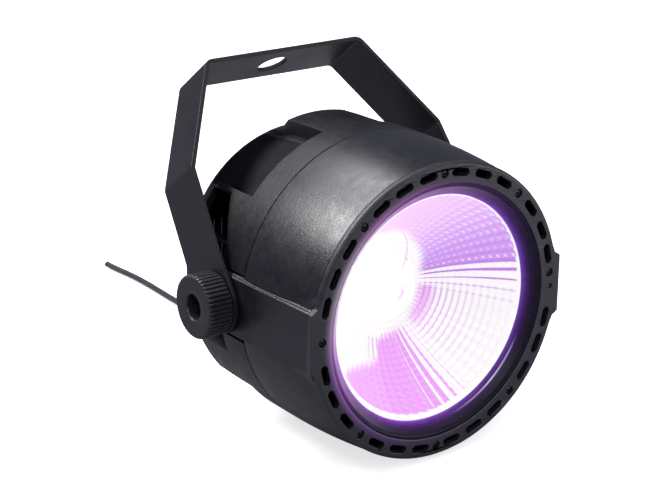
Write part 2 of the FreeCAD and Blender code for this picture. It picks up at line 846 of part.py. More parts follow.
def fan_stator():
    turned_piece("stator_core", "fan_stator", slab(1.06, 68, 9.4, 74.5))


def fan_rotor():
    hub = new_body("rotor_hub")
    turn(hub, [
        (0, 65), (13, 65), (14, 66), (14, 73.6), (12.8, 73.6), (12.8, 66.6),
        (1, 66.6), (1, 74), (0, 74),
    ])
    put(hub, BACK)
    blade_count, blade_twist, blade_back = 7, 48, 69.6
    length, thick, chord = 14.4, 1.2, 9.5
    blades = []
    for i in range(blade_count):
        blade = Part.makeBox(length, thick, chord, Vector(13.2, -thick / 2, -chord / 2))
        blade.rotate(CENTRE, Vector(1, 0, 0), blade_twist)
        blade.translate(Vector(0, 0, blade_back))
        blade.rotate(CENTRE, Vector(0, 0, 1), i * 360 / blade_count)
        blades.append(blade)
    wheel = Part.makeCompound(blades)
    wheel.rotate(CENTRE, Vector(1, 0, 0), -90)
    # the blades are trimmed to a drum that clears the duct
    room = rod("blade_room", 27.8, 8.6, (0, 65.2, 0))
    vanes = doc.addObject("Part::Common", "rotor_vanes")
    vanes.Base = made("vane_set", wheel)
    vanes.Tool = room
    node(join("rotor_body", hub, vanes), "fan_rotor")


def fan_screws():
    screws("fan_screws", FAN_SCREWS, "fan_front + fan_deep", BACK,
           head_radius=2.6, head_high=1.7, radius=1.2, length=32.2)


# ---- electronics


def power_board():
    board = block("main_board_sheet", 76, "board_thick", 32, (0, "power_front", 24))
    holes = [
        rod(f"board_hole{i}", 1.6, 3, (x, "power_front - 0.5", z))
        for i, (x, z) in enumerate(BOARD_SCREWS)
    ]
    node(cut("main_board_cut", board, *holes), "power_board")


def transformer():
    x, z = -17, 25
    core = block("transformer_core", 20, 9.5, 17, (x, POWER_BACK, z))
    coil = block("transformer_coil", 12, 11, 21, (x, POWER_BACK + " + 0.2", z))
    node(join("transformer_body", core, coil), "transformer")


def capacitors():
    cans = []
    for i, z in enumerate((17, 31)):
        can = rod(f"can{i}", 4, 10.5, (2, POWER_BACK + " + 0.6", z))
        foot = rod(f"can_foot{i}", 3.6, 0.8, (2, POWER_BACK, z))
        cans.append(join(f"capacitor{i}", can, foot))
    node(together("capacitor_set", cans), "capacitors")


def terminal_block():
    x, z = 22, 17
    case = block("terminal_form", 16, 9, 9, (x, POWER_BACK, z))
    holes = [
        rod(f"terminal_hole{i}", 1.2, 5, (x + offset, POWER_BACK + " + 5", z))
        for i, offset in enumerate((-4, 4))
    ]
    node(cut("terminal_cut", case, *holes), "terminal_block")


def board_screws():
    screws("board_screws", BOARD_SCREWS, "power_front", FORWARD,
           head_radius=2.4, head_high=1.4, radius=1.15, length=7)


def control_board():
    block_piece("control_sheet", "control_board", 57, "board_thick", 38,
                (0, "control_front", 21))


def display():
    case_deep = 5.3
    digit_back = f"{CONTROL_BACK} + {case_deep}"
    digits = [
        block(f"digit{i}", 5.6, 0.3, 9, (-10.5 + 7 * i, digit_back, "display_up"))
        for i in range(4)
    ]
    case = block("display_case", 29.6, case_deep, 13.6, (0, CONTROL_BACK, "display_up"))
    node(join("display_body", case, *digits), "display_module")
    block_piece("window_sheet", "display_window", 30, 1.4, 14, (0, 107.2, "display_up"))


def tact_switches():
    switches = []
    for i, (_, x) in enumerate(BUTTONS):
        case = block(f"switch_case{i}", 6, 1.6, 6, (x, CONTROL_BACK, "button_up"))
        stem = rod(f"switch_stem{i}", 1.6, 0.8, (x, CONTROL_BACK + " + 1.5", "button_up"))
        switches.append(join(f"switch{i}", case, stem))
    node(together("switch_set", switches), "tact_switches")


def buttons():
    profile = [
        (0, 102.5),
        (4.2, 102.5),
        (4.2, 103.7),
        ("button_radius", 103.7),
        ("button_radius", 110.1),
        ("button_radius - 0.7", 110.8),
        (0, 110.8),
    ]
    for label, x in BUTTONS:
        turned_piece(label + "_cap", label, profile, at=(x, 0, "button_up"))


# ---- data sockets: input on the left, output on the right, as seen from the front


def dmx_socket(kind, side):
    name = "socket_" + kind
    socket = new_body(name)
    sk = sketch(socket, "XY_Plane", name + "_flange", "rim_back")
    loop(sk, [
        (11, -15.5), (13, -13.5), (13, 13.5), (11, 15.5),
        (-11, 15.5), (-13, 13.5), (-13, -13.5), (-11, -15.5),
    ])
    pad(socket, sk, 2)
    bosses(socket, name + "_barrel", 88, [(0, 0, 11.5)], 22)
    bores(socket, name + "_mouth", "carrier_front", [(0, 0, 9.7)], 30)
    screw_spots = [("socket_hole_x", "socket_hole_up"), ("-socket_hole_x", "-socket_hole_up")]
    bores(socket, name + "_holes", "rim_back - 1", circles_at(screw_spots, 1.7), 5)
    if kind == "output":
        sk = sketch(socket, "XY_Plane", "socket_latch_slot", "rim_back - 5")
        pocket(socket, loop(sk, slab(-3.2, -14.6, 3.2, -11.2)), 9, reverse=True)
    node(socket, f"dmx_{kind}_socket", BACK, (f"socket_x * {side}", 0, "socket_up"))


def prong_place(side, prong, y):
    x, z = prong
    return f"socket_x * {side} + {x:.4f}", y, f"socket_up + {z:.4f}"


def dmx_input_insert():
    carrier = new_body("pin_carrier")
    turn(carrier, slab(0, "carrier_front", 9.6, "carrier_front + 3.5"))
    bores(carrier, "carrier_holes", 90, circles_at(PRONGS, 1.2), 8)
    node(carrier, "dmx_input_insert", BACK, ("-socket_x", 0, "socket_up"))


def dmx_input_pins():
    radius, front, length = 1.2, 90.6, 16.5
    pins = []
    for i, prong in enumerate(PRONGS):
        shank = rod(f"pin_rod{i}", radius, length, prong_place(-1, prong, front))
        tip = doc.addObject("Part::Sphere", f"pin_tip{i}")
        tip.Radius = radius
        put(tip, FLAT, prong_place(-1, prong, front + length))
        pins.append(join(f"pin{i}", shank, tip))
    node(together("pin_set", pins), "dmx_input_pins")


def dmx_output_insert():
    carrier = new_body("contact_carrier")
    turn(carrier, [
        (0, "carrier_front"),
        (9.6, "carrier_front"),
        (9.6, "carrier_front + 3"),
        (8.3, "carrier_front + 3"),
        (8.3, 109.8),
        (7.9, 110.2),
        (0, 110.2),
    ])
    bores(carrier, "contact_holes", 90, circles_at(PRONGS, 2), 24)
    node(carrier, "dmx_output_insert", BACK, ("socket_x", 0, "socket_up"))


def dmx_output_contacts():
    tubes = []
    for i, prong in enumerate(PRONGS):
        outer = rod(f"contact_out{i}", 1.95, 17.5, prong_place(1, prong, 91))
        inner = rod(f"contact_in{i}", 1.3, 15, prong_place(1, prong, 94))
        tubes.append(cut(f"contact{i}", outer, inner))
    node(together("contact_set", tubes), "dmx_output_contacts")


def dmx_latch():
    up = "socket_up + 12.9"
    tab = block("latch_tab", 6, 4.4, 3, ("socket_x", 108.2, up))
    press = block("latch_pad", 7.6, 1.2, 4.2, ("socket_x", 112.4, up))
    node(join("latch_form", tab, press), "dmx_latch")


def socket_screw_spots():
    return [
        (f"socket_x * {side} + socket_hole_x * {end}", f"socket_up + socket_hole_up * {end}")
        for side in (1, -1)
        for end in (1, -1)
    ]


def dmx_screws():
    screws("dmx_screws", socket_screw_spots(), "rim_back + 2", BACK,
           head_radius=2.6, head_high=1.5, radius=1.4, length=7)


def microphone():
    can = rod("mic_can", 3, 3.4, ("mic_x", 102.1, "mic_up"))
    base = rod("mic_base", 3.2, 0.8, ("mic_x", 101.4, "mic_up"))
    node(join("mic_form", can, base), "microphone")


# ---- rear cover


def cover_openings(sk):
    spots_and_radii = [
        ([("socket_x", "socket_up"), ("-socket_x", "socket_up")], 11.8),
        ([("gland_x", "gland_up")], 4.5),
        ([("mic_x", "mic_up")], 1.2),
        ([(x, "button_up") for _, x in BUTTONS], "button_radius + 0.06"),
        (COVER_SCREWS, 1.6),
        (socket_screw_spots(), 1.45),
    ]
    for spots, radius in spots_and_radii:
        rings(sk, circles_at(spots, radius))
    # display window
    loop(sk, slab(-15.1, "-display_up - 7.1", 15.1, "-display_up + 7.1"))
    # upright slots at both sides
    for x in (39, 43):
        for side in (1, -1):
            loop(sk, slab(side * x - 1, -20, side * x + 1, 6))
    # level slots between the sockets
    for i in range(6):
        down = 4 + 4.5 * i
        loop(sk, slab(-6, down - 1, 6, down + 1))


def rear_cover():
    cover = new_body("cover_plate")
    bosses(cover, "cover_disc", "cover_front", [(0, 0, "cover_radius")], "rim_back - cover_front")
    bosses(cover, "cover_posts", POWER_BACK, circles_at(BOARD_SCREWS, 2.6),
           f"cover_front - ({POWER_BACK})")
    short_posts = [(x, z) for x in (25.5, -25.5) for z in (5, 37)]
    bosses(cover, "cover_short_posts", CONTROL_BACK, circles_at(short_posts, 2),
           f"cover_front - ({CONTROL_BACK})")
    bores(cover, "post_bore", POWER_BACK, circles_at(BOARD_SCREWS, 1.2), 7)
    sk = sketch(cover, "XY_Plane", "cover_holes", "cover_front")
    cover_openings(sk)
    pocket(cover, sk, 8, reverse=True)
    sk = sketch(cover, "XY_Plane", "latch_slot", "cover_front")
    loop(sk, slab("socket_x - 3.3", "-socket_up - 14.7", "socket_x + 3.3", "-socket_up - 9"))
    pocket(cover, sk, 8, reverse=True)
    bores(cover, "cover_sinks", "rim_back", circles_at(COVER_SCREWS, 3), 1.9, reverse=False)
    node(cover, "rear_cover", BACK)


def rear_cover_screws():
    screws("rear_cover_screws", COVER_SCREWS, "rim_back - 1.9", BACK,
           head_radius=2.7, head_high=1.7, radius=1.25, length=11.5)


# ---- cables


def cable_gland():
    profile = [
        (1.6, 102), (5.8, 102), (5.8, 105.4), (4.4, 105.4), (4.4, 109.1), (5.6, 109.1),
        (5.6, 111.2), (4, 112.4), (3.6, 115), (3, 117.5), (2.15, 117.5), (1.6, 107),
    ]
    turned_piece("gland_form", "cable_gland", profile, at=("gland_x", 0, "gland_up"))


def supply_cable():
    """The jacket and its two cores, swept from the gland down to the ground and backwards."""
    out_x, out_z = num("gland_x"), num("gland_up")
    low = num("cable_radius") - num("frame_up") + 0.3
    # sideways from the gland, back, height
    lay = [
        (0, 98, out_z), (0, 110, out_z), (0, 122, out_z - 0.3), (0.1, 137, out_z - 9),
        (0.1, 152, low + 5.2), (0, 168, low + 0.25), (0, 190, low), (0.3, 222, low),
        (1.3, 250, low), (1.0, 268, low), (-0.6, 290, low),
    ]
    points = [Vector(out_x + x, y, z) for x, y, z in lay]
    curve = Part.BSplineCurve()
    curve.interpolate(Points=points, InitialTangent=BEAM, FinalTangent=BEAM)
    spine = Part.Wire([curve.toShape()])

    def along(radius, sideways=0.0):
        circle = Part.makeCircle(radius, points[0] + Vector(sideways, 0, 0), BEAM)
        return spine.makePipeShell([Part.Wire([circle])], True, True)

    jacket = along(num("cable_radius")).cut(along(1.2))
    node(made("jacket_form", jacket), "power_cable")
    cores = Part.makeCompound([along(0.52, 0.58), along(0.52, -0.58)])
    node(made("core_form", cores), "cable_cores")


def lead(points, radius):
    """A round lead of straight runs with ball corners."""
    runs = [
        Part.makeCylinder(radius, (end - start).Length, start, end - start)
        for start, end in zip(points, points[1:])
    ]
    shape = runs[0]
    for run in runs[1:]:
        shape = shape.fuse(run)
    for point in points[1:-1]:
        shape = shape.fuse(Part.makeSphere(radius, point))
    return shape


def led_wires():
    up = num("wire_up")
    # (back, height) from the emitter over the fan to the power board
    path = [(38.8, 19.05), (38.2, 26), (38.2, 38), (41, up), (78, up), (81, 38), (83.6, 37)]
    leads = [lead([Vector(x, y, z) for y, z in path], 0.8) for x in (-1.3, 1.3)]
    node(made("lead_set", Part.makeCompound(leads)), "led_wires")


# ---- yoke: one bent strip, modelled upright about the tilt axis


def yoke_face(grow):
    """(x, z) of the strip's right half, offset from its centre line, without the middle."""
    line = [
        (num("arm_x"), -num("strip_width") / 2),
        (num("arm_x"), num("kink_up")),
        (num("bend_x"), num("bend_up")),
        (num("top_half"), num("top_up")),
        (0, num("top_up")),
    ]
    normals = []
    for (x0, z0), (x1, z1) in zip(line, line[1:]):
        length = math.hypot(x1 - x0, z1 - z0)
        normals.append(((z1 - z0) / length, -(x1 - x0) / length))
    points = []
    for i, (x, z) in enumerate(line[:-1]):
        touching = normals[max(i - 1, 0) : i + 1]
        across, up = (sum(parts) for parts in zip(*touching))
        scale = grow / (across * touching[0][0] + up * touching[0][1])
        points.append((x + across * scale, z + up * scale))
    return points


def round_edges(strip, name, chosen, radius):
    """Fillet the edges of the strip whose two end points pass the test."""
    last = strip.Tip
    names = []
    for i, edge in enumerate(last.Shape.Edges, 1):
        ends = [vertex.Point for vertex in edge.Vertexes]
        if len(ends) == 2 and chosen(*ends):
            names.append(f"Edge{i}")
    fillet = strip.newObject("PartDesign::Fillet", name)
    fillet.Base = (last, names)
    drive(fillet, "Radius", radius)
    strip.Tip = fillet
    doc.recompute()


def yoke():
    strip = new_body("yoke_strip")
    sk = sketch(strip, "XZ_Plane", "yoke_profile")
    half_thick = num("strip_thick") / 2
    outer, inner = yoke_face(half_thick), yoke_face(-half_thick)
    outer_left = [(-x, z) for x, z in reversed(outer)]
    inner_left = [(-x, z) for x, z in inner]
    loop(sk, outer + outer_left + inner_left + inner[::-1])
    pad(strip, sk, "strip_width", both=True)
    doc.recompute()

    for name, line, radius in (("bend_inside", inner, 3), ("bend_outside", outer, 5)):
        spots = [(side * x, z) for x, z in line[2:] for side in (1, -1)]

        def at_bend(start, end):
            if abs(start.x - end.x) > 0.01 or abs(start.z - end.z) > 0.01:
                return False
            return any(math.hypot(start.x - x, start.z - z) < 0.8 for x, z in spots)

        round_edges(strip, name, at_bend, radius)

    foot_z = -num("strip_width") / 2

    def at_foot(start, end):
        level = abs(start.y - end.y) < 0.01 and abs(start.z - end.z) < 0.01
        return level and start.z < foot_z + 0.1 and abs(start.y) > 5

    # just short of half the width, so the two fillets of a foot do not meet
    round_edges(strip, "arm_round", at_foot, "strip_width / 2 - 0.05")
    sk = sketch(strip, "YZ_Plane", "pivot_holes")
    pocket(strip, rings(sk, [(0, 0, "pivot_hole")]), 200, both=True)
    bores(strip, "hang_hole", "top_up + 10", [(0, 0, "hang_radius")], 30, reverse=False)
    tilt = Rotation(Vector(1, 0, 0), -num("lean"))
    node(strip, "yoke", tilt, PIVOT)


# ---- clamps, one on each side, turned about the tilt axis; local Z runs outwards

PIVOT = (0, "pivot_back", 0)
ARM_INSIDE = "arm_x - strip_thick / 2 - 0.03"
ARM_OUTSIDE = "arm_x + strip_thick / 2 + 0.03"
WASHER_HOLE = "stud_radius + 0.08"
RECESS = 73.6  # floor of the recess in the knob, where the stud's head sits


def friction_washer(side, way):
    profile = slab(WASHER_HOLE, "pad_rear + 0.03", 11, ARM_INSIDE)
    turned_piece("friction_" + side, "friction_washer_" + side, profile, way=way, at=PIVOT)


def threaded_insert(side, way):
    profile = [
        ("stud_radius + 0.06", 52.2),
        ("insert_radius", 52.2),
        ("insert_radius", 66.9),
        ("stud_radius + 0.5", 66.9),
        ("stud_radius + 0.06", 66.4),
    ]
    turned_piece("insert_" + side, "threaded_insert_" + side, profile, way=way, at=PIVOT)


def steel_washer(side, way):
    profile = slab(WASHER_HOLE, ARM_OUTSIDE, 9, "knob_back + 0.7")
    turned_piece("washer_form_" + side, "washer_" + side, profile, way=way, at=PIVOT)


def knob_bolt(side, way):
    head_face, hex_radius = 76.6, 2.9
    stud = new_body("stud_" + side)
    turn(stud, [
        (0, "stud_end"),
        ("stud_radius - 0.8", "stud_end"),
        ("stud_radius", "stud_end + 0.8"),
        ("stud_radius", RECESS),
        (5.4, RECESS),
        (5.4, head_face),
        (0, head_face),
    ])
    angles = [math.radians(60 * k + 30) for k in range(6)]
    hexagon = [(hex_radius * math.cos(a), hex_radius * math.sin(a)) for a in angles]
    sk = sketch(stud, "XY_Plane", "stud_hex_" + side, head_face)
    pocket(stud, loop(sk, hexagon), 2.2)
    node(stud, "knob_bolt_" + side, way, PIVOT)


def knob(side, way):
    grip = new_body("knob_form_" + side)
    turn(grip, [
        ("stud_radius", "knob_back + 0.72"),
        (9.3, "knob_back + 0.72"),
        (9.3, "knob_back"),
        ("knob_radius - 0.7", "knob_back"),
        ("knob_radius", "knob_back + 0.7"),
        ("knob_radius", "knob_face - 1"),
        ("knob_radius - 1", "knob_face"),
        (6.1, "knob_face"),
        (5.5, "knob_face - 0.6"),
        (5.5, RECESS),
        ("stud_radius", RECESS),
    ])
    floor_half, mouth_half = 0.25, 0.8
    sk = sketch(grip, "XY_Plane", "rib_groove_" + side, "knob_back - 1")
    loop(sk, [
        ("knob_radius - 0.75", -floor_half),
        ("knob_radius + 1", -mouth_half),
        ("knob_radius + 1", mouth_half),
        ("knob_radius - 0.75", floor_half),
    ])
    groove = pocket(grip, sk, "knob_face - knob_back + 2", reverse=True)
    polar(grip, "ribs_" + side, groove, 44)
    node(grip, "knob_" + side, way, PIVOT)


def clamps():
    for side, way in (("left", LEFT), ("right", RIGHT)):
        for build_part in (friction_washer, threaded_insert, steel_washer, knob_bolt, knob):
            build_part(side, way)


# ---- build and export


def dmx_sockets():
    dmx_socket("input", -1)
    dmx_socket("output", 1)


for build in (
    front_bezel, bezel_screws, front_housing, rear_housing, housing_screws,
    trim_collar, reflector, led_lens, led_holder, emitter, led_screws,
    heat_sink, heat_sink_screws, fan_spacers, fan_frame, fan_stator, fan_rotor, fan_screws,
    power_board, transformer, capacitors, terminal_block, board_screws,
    control_board, display, tact_switches, buttons,
    dmx_sockets, dmx_input_insert, dmx_input_pins, dmx_output_insert, dmx_output_contacts,
    dmx_latch, dmx_screws, microphone, rear_cover, rear_cover_screws,
    cable_gland, supply_cable, led_wires, yoke, clamps,
):
    build()
doc.recompute()

bad = [o.Name for o in doc.Objects if "Invalid" in o.State or "Error" in o.State]
if bad:
    raise SystemExit("objects in error: " + ", ".join(bad))
if len({o.Label for o in NODES}) != len(NODES):
    raise SystemExit("two pieces share a label")
os.makedirs("parts", exist_ok=True)
for piece in NODES:
    shape = piece.Shape
    if shape.isNull() or not shape.isValid() or not shape.Solids:
        raise SystemExit("bad shape: " + piece.Label)
    shape.exportStep(f"parts/{piece.Label}.step")
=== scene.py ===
"""A stage lamp: a round head with facetted reflector, vented rear drum, yoke and supply lead.

The beam axis runs along Y at z = AXIS_UP, with the lamp shining towards -Y. The floor lies at
z = 0. Pieces are drawn in the head frame, in millimetres: x right as seen from the front,
y back from the front face, z up from the beam axis. Turns go from the top towards +X.
"""
import bpy
import bmesh
import json
import math
import numpy as np
from contextlib import contextmanager
from mathutils import Matrix, Vector


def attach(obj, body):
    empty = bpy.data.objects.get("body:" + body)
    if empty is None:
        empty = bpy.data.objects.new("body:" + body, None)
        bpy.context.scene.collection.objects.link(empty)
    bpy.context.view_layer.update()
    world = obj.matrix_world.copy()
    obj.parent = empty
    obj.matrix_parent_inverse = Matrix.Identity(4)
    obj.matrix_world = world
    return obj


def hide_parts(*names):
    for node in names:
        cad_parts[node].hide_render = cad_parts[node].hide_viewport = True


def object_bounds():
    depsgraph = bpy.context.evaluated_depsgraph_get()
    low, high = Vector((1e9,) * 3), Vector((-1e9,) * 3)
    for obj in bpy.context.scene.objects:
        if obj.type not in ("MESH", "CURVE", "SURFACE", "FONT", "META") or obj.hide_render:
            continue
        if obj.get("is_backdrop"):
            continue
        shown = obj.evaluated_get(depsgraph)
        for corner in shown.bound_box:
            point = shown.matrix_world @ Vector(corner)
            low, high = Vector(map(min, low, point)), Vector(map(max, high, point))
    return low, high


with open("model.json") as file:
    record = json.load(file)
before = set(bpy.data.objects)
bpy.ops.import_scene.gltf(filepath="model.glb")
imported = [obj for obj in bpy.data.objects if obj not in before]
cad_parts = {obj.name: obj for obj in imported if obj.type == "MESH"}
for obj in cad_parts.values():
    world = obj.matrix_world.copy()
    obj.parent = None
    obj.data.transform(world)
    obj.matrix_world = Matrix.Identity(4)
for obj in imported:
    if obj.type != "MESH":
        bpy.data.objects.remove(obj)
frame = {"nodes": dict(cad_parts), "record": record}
_lo, _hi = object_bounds()
box_before = [list(_lo), list(_hi)]
NODES = frame["nodes"]
SLOT = {s["node"]: s["material_slot"] for s in frame["record"]["subparts"]}
BODY_OF = {n: b for b, ns in frame["record"]["behaviour"]["bodies"].items() for n in ns}

MM = 0.001
FRONT = 145.0  # from the world origin forward to the front face
AXIS_UP = 67.6  # beam axis above the floor
PIVOT = 63.4  # knob axis, back from the front face


def head_to_world(x, y, z):
    """Head millimetres to world metres."""
    return (x * MM, (y - FRONT) * MM, (z + AXIS_UP) * MM)


# ------------------------------------------------------------------ shader graph


def math_operator(operation, swapped=False):
    def apply(self, other=0.0):
        pair = (other, self) if swapped else (self, other)
        return self.material.math(operation, *pair)
    return apply


class Value:
    """A shader output; every arithmetic operation on it adds a math node."""

    def __init__(self, material, socket):
        self.material = material
        self.socket = socket

    __add__ = math_operator("ADD")
    __sub__ = math_operator("SUBTRACT")
    __rsub__ = math_operator("SUBTRACT", swapped=True)
    __mul__ = math_operator("MULTIPLY")
    __truediv__ = math_operator("DIVIDE")
    __abs__ = math_operator("ABSOLUTE")
    maximum = math_operator("MAXIMUM")
    minimum = math_operator("MINIMUM")
    arctan2 = math_operator("ARCTAN2")
    sqrt = math_operator("SQRT")
    fract = math_operator("FRACT")
    sine = math_operator("SINE")

    def clamped(self):
        """Limit this math node's own result to 0..1."""
        self.socket.node.use_clamp = True
        return self


NOISE_SPAN = (0.3, 0.7)  # where most noise values fall


class Material:
    """Builds the node tree of one material."""

    def __init__(self, name):
        self.data = bpy.data.materials.new(name)
        self.data.use_nodes = True
        self.tree = self.data.node_tree
        self.tree.nodes.clear()
        self.output = self.tree.nodes.new("ShaderNodeOutputMaterial")
        self.place = self.add("ShaderNodeTexCoord", output="Object")

    def put(self, socket, value):
        if isinstance(value, Value):
            self.tree.links.new(value.socket, socket)
        elif isinstance(value, tuple) and socket.type == "RGBA":
            socket.default_value = (*value, 1)
        else:
            socket.default_value = value

    def add(self, kind, inputs=None, output=0, **settings):
        """A new node with its inputs filled; gives one of its outputs."""
        node = self.tree.nodes.new(kind)
        for key, value in settings.items():
            setattr(node, key, value)
        for key, value in (inputs or {}).items():
            self.put(node.inputs[key], value)
        return Value(self, node.outputs[output])

    def math(self, operation, first, second):
        return self.add("ShaderNodeMath", {0: first, 1: second, 2: 0.0}, operation=operation)

    def split(self, vector):
        node = self.add("ShaderNodeSeparateXYZ", {0: vector}).socket.node
        return [Value(self, socket) for socket in node.outputs]

    def polar(self):
        """Radius from the beam axis in metres, and turn from the top towards +X, 0..1."""
        x, _, z = self.split(self.place)
        z = z - AXIS_UP * MM
        radius = (x * x + z * z).sqrt()
        return radius, (x.arctan2(z) / (2 * math.pi) + 1.0).fract()

    def mapped(self, **inputs):
        """Object coordinates through a mapping node."""
        return self.add("ShaderNodeMapping", {0: self.place, **inputs})

    def noise(self, scale, detail, rough, distort=0.0, place=None):
        inputs = {
            "Vector": place or self.place, "Scale": scale, "Detail": detail,
            "Roughness": rough, "Distortion": distort,
        }
        return self.add("ShaderNodeTexNoise", inputs)

    def voronoi(self, scale, randomness=1.0):
        inputs = {"Vector": self.place, "Scale": scale, "Randomness": randomness}
        return self.add("ShaderNodeTexVoronoi", inputs, output="Distance")

    def remap(self, value, to, over=NOISE_SPAN):
        inputs = {0: value, 1: over[0], 2: over[1], 3: to[0], 4: to[1]}
        return self.add("ShaderNodeMapRange", inputs)

    def ramp(self, value, stops, over=None, interp="LINEAR"):
        """stops: (position, grey or colour); positions are shares of the span `over`."""
        if over:
            value = self.remap(value, to=(0.0, 1.0), over=over)
        result = self.add("ShaderNodeValToRGB", {0: value})
        color_ramp = result.socket.node.color_ramp
        color_ramp.interpolation = interp
        elements = color_ramp.elements
        while len(elements) > 1:
            elements.remove(elements[-1])
        for i, (position, colour) in enumerate(stops):
            element = elements[0] if i == 0 else elements.new(position)
            element.position = position
            colour = colour if isinstance(colour, tuple) else grey(colour)
            element.color = (*colour, 1)
        return result

    def around(self, turn, *stops, interp="LINEAR"):
        """A ramp whose stops sit at angles in degrees."""
        stops = [(degrees / 360.0, value) for degrees, value in stops]
        return self.ramp(turn, stops, interp=interp)

    def blend(self, value, dark, light, over=NOISE_SPAN):
        return self.ramp(value, [(over[0], dark), (over[1], light)])

    def mix(self, factor, first, second):
        inputs = {0: factor, 6: first, 7: second}
        return self.add("ShaderNodeMix", inputs, output=2, data_type="RGBA")

    def bump(self, *layers):
        """layers: (height, distance in m, strength), stacked."""
        normal = None
        for height, distance, strength in layers:
            inputs = {"Distance": distance, "Strength": strength, "Height": height}
            if normal:
                inputs["Normal"] = normal
            normal = self.add("ShaderNodeBump", inputs)
        return normal

    def edge_pointiness(self, over):
        edge = self.add("ShaderNodeNewGeometry", output="Pointiness")
        return self.remap(edge, to=(0.0, 1.0), over=over)

    def camera_ray(self):
        return self.add("ShaderNodeLightPath", output="Is Camera Ray")

    def done(self, shader):
        self.put(self.output.inputs[0], shader)
        return self.data

    def principled(self, **inputs):
        """Finish with a principled shader; underscores in names stand for spaces."""
        inputs = {key.replace("_", " "): value for key, value in inputs.items()}
        return self.done(self.add("ShaderNodeBsdfPrincipled", inputs))

    def lit_gloss(self, tone, power, camera_change, gloss):
        """Emission, weaker to the camera than to the scene, under a trace of gloss."""
        strength = self.camera_ray() * camera_change + power
        inputs = {"Color": tone, "Strength": strength}
        emission = self.add("ShaderNodeEmission", inputs)
        glossy = self.add("ShaderNodeBsdfGlossy", gloss)
        return self.done(self.add("ShaderNodeMixShader", {0: 0.04, 1: emission, 2: glossy}))


def grey(level):
    return (level, level, level)


def srgb(*channels):
    """sRGB 0-255 to linear."""
    def linear(c):
        c = c / 255
        return c / 12.92 if c <= 0.04045 else ((c + 0.055) / 1.055) ** 2.4
    return tuple(linear(c) for c in channels)


def brighter(colour, gain, lift=0.0):
    return tuple(min(1, c * gain + lift) for c in colour)


# ------------------------------------------------------------------ materials


def ring_spill(mat):
    """Violet light on the ring's inner edge, strongest on the -X side."""
    radius, turn = mat.polar()
    side = mat.ramp(turn, [
        (0.0, 0.12), (0.08, 0.02), (0.4, 0.02), (0.53, 0.12), (0.6, 0.35), (0.68, 0.8),
        (0.75, 1.0), (0.84, 1.0), (0.9, 0.9), (0.95, 0.5), (1.0, 0.12)])
    fall = mat.ramp(
        radius * 1000.0, over=(56.1, 60.4),
        stops=[(0.0, 1.0), (0.2, 0.62), (0.45, 0.28), (0.75, 0.08), (1.0, 0.0)])
    tint = mat.ramp(turn, [
        (0.0, (0.42, 0.1, 0.5)), (0.6, (0.24, 0.06, 0.5)), (0.7, (0.34, 0.12, 0.5)),
        (0.79, (0.4, 0.3, 0.44)), (0.85, (0.42, 0.32, 0.46)), (0.9, (0.48, 0.16, 0.52)),
        (1.0, (0.42, 0.1, 0.5))])
    normal = mat.add("ShaderNodeNewGeometry", output="True Normal")
    facing_front = mat.remap(mat.split(normal)[1], to=(1.0, 0.0), over=(-0.9, -0.3))
    strength = side * fall * facing_front * 0.85
    return {"Emission_Color": tint, "Emission_Strength": strength}


def moulded(name, dark, light, rough=(0.34, 0.5), grain=0.00005, scale=1500.0,
            spec=0.5, edge=0.0, lump=0.0, spill=False):
    """Moulded plastic: faint mottling, a fine grain, and lighter edges that are partly scuffs and
    partly painted highlight.

    grain is the bump depth in m, scale its fineness, edge the strength of the lighter edges
    (wear and painted highlight), lump the strength of patches that shine differently.
    """
    mat = Material(name)
    big = mat.noise(scale=38, detail=5, rough=0.6)
    mid = mat.noise(scale=210, detail=6, rough=0.65)
    fine = mat.noise(scale=scale, detail=3, rough=0.6)
    cell = mat.voronoi(scale=scale * 0.62)
    tone = mat.blend(big * 0.5 + mid * 0.5, dark, light, over=(0.325, 0.675))
    speck = mat.blend(mat.noise(scale=620, detail=2, rough=0.5), 0.0, 1.0, over=(0.66, 0.74))
    tone = mat.mix(speck * 0.25, tone, brighter(light, gain=1.9, lift=0.01))
    # lighter edges: partly wear, partly painted highlight where ridges catch the light
    if edge:
        lighter_edges = mat.edge_pointiness(over=(0.515, 0.56))
        lighter_edges = (lighter_edges * mat.remap(mid, to=(0.35, 1.0), over=(0.35, 0.6))).clamped()
        tone = mat.mix(lighter_edges * edge, tone, brighter(light, gain=3.2, lift=0.02))
    roughness = mat.remap(mid, to=rough) + (fine - 0.5) * 0.16
    if lump:
        patch = mat.noise(scale=330, detail=8, rough=0.7, distort=0.2)
        roughness = roughness + (patch - 0.5) * (0.5 * lump)
        roughness = roughness.maximum(0.28).minimum(0.75)
    normal = mat.bump(
        (big, 0.00025, 0.12), (mid, 0.00008, 0.35), (fine, grain, 0.75), (cell, grain * 0.8, 0.5))
    glow = ring_spill(mat) if spill else {}
    return mat.principled(
        Base_Color=tone, Roughness=roughness, Normal=normal, Specular_IOR_Level=spec,
        Coat_Roughness=0.25, **glow)


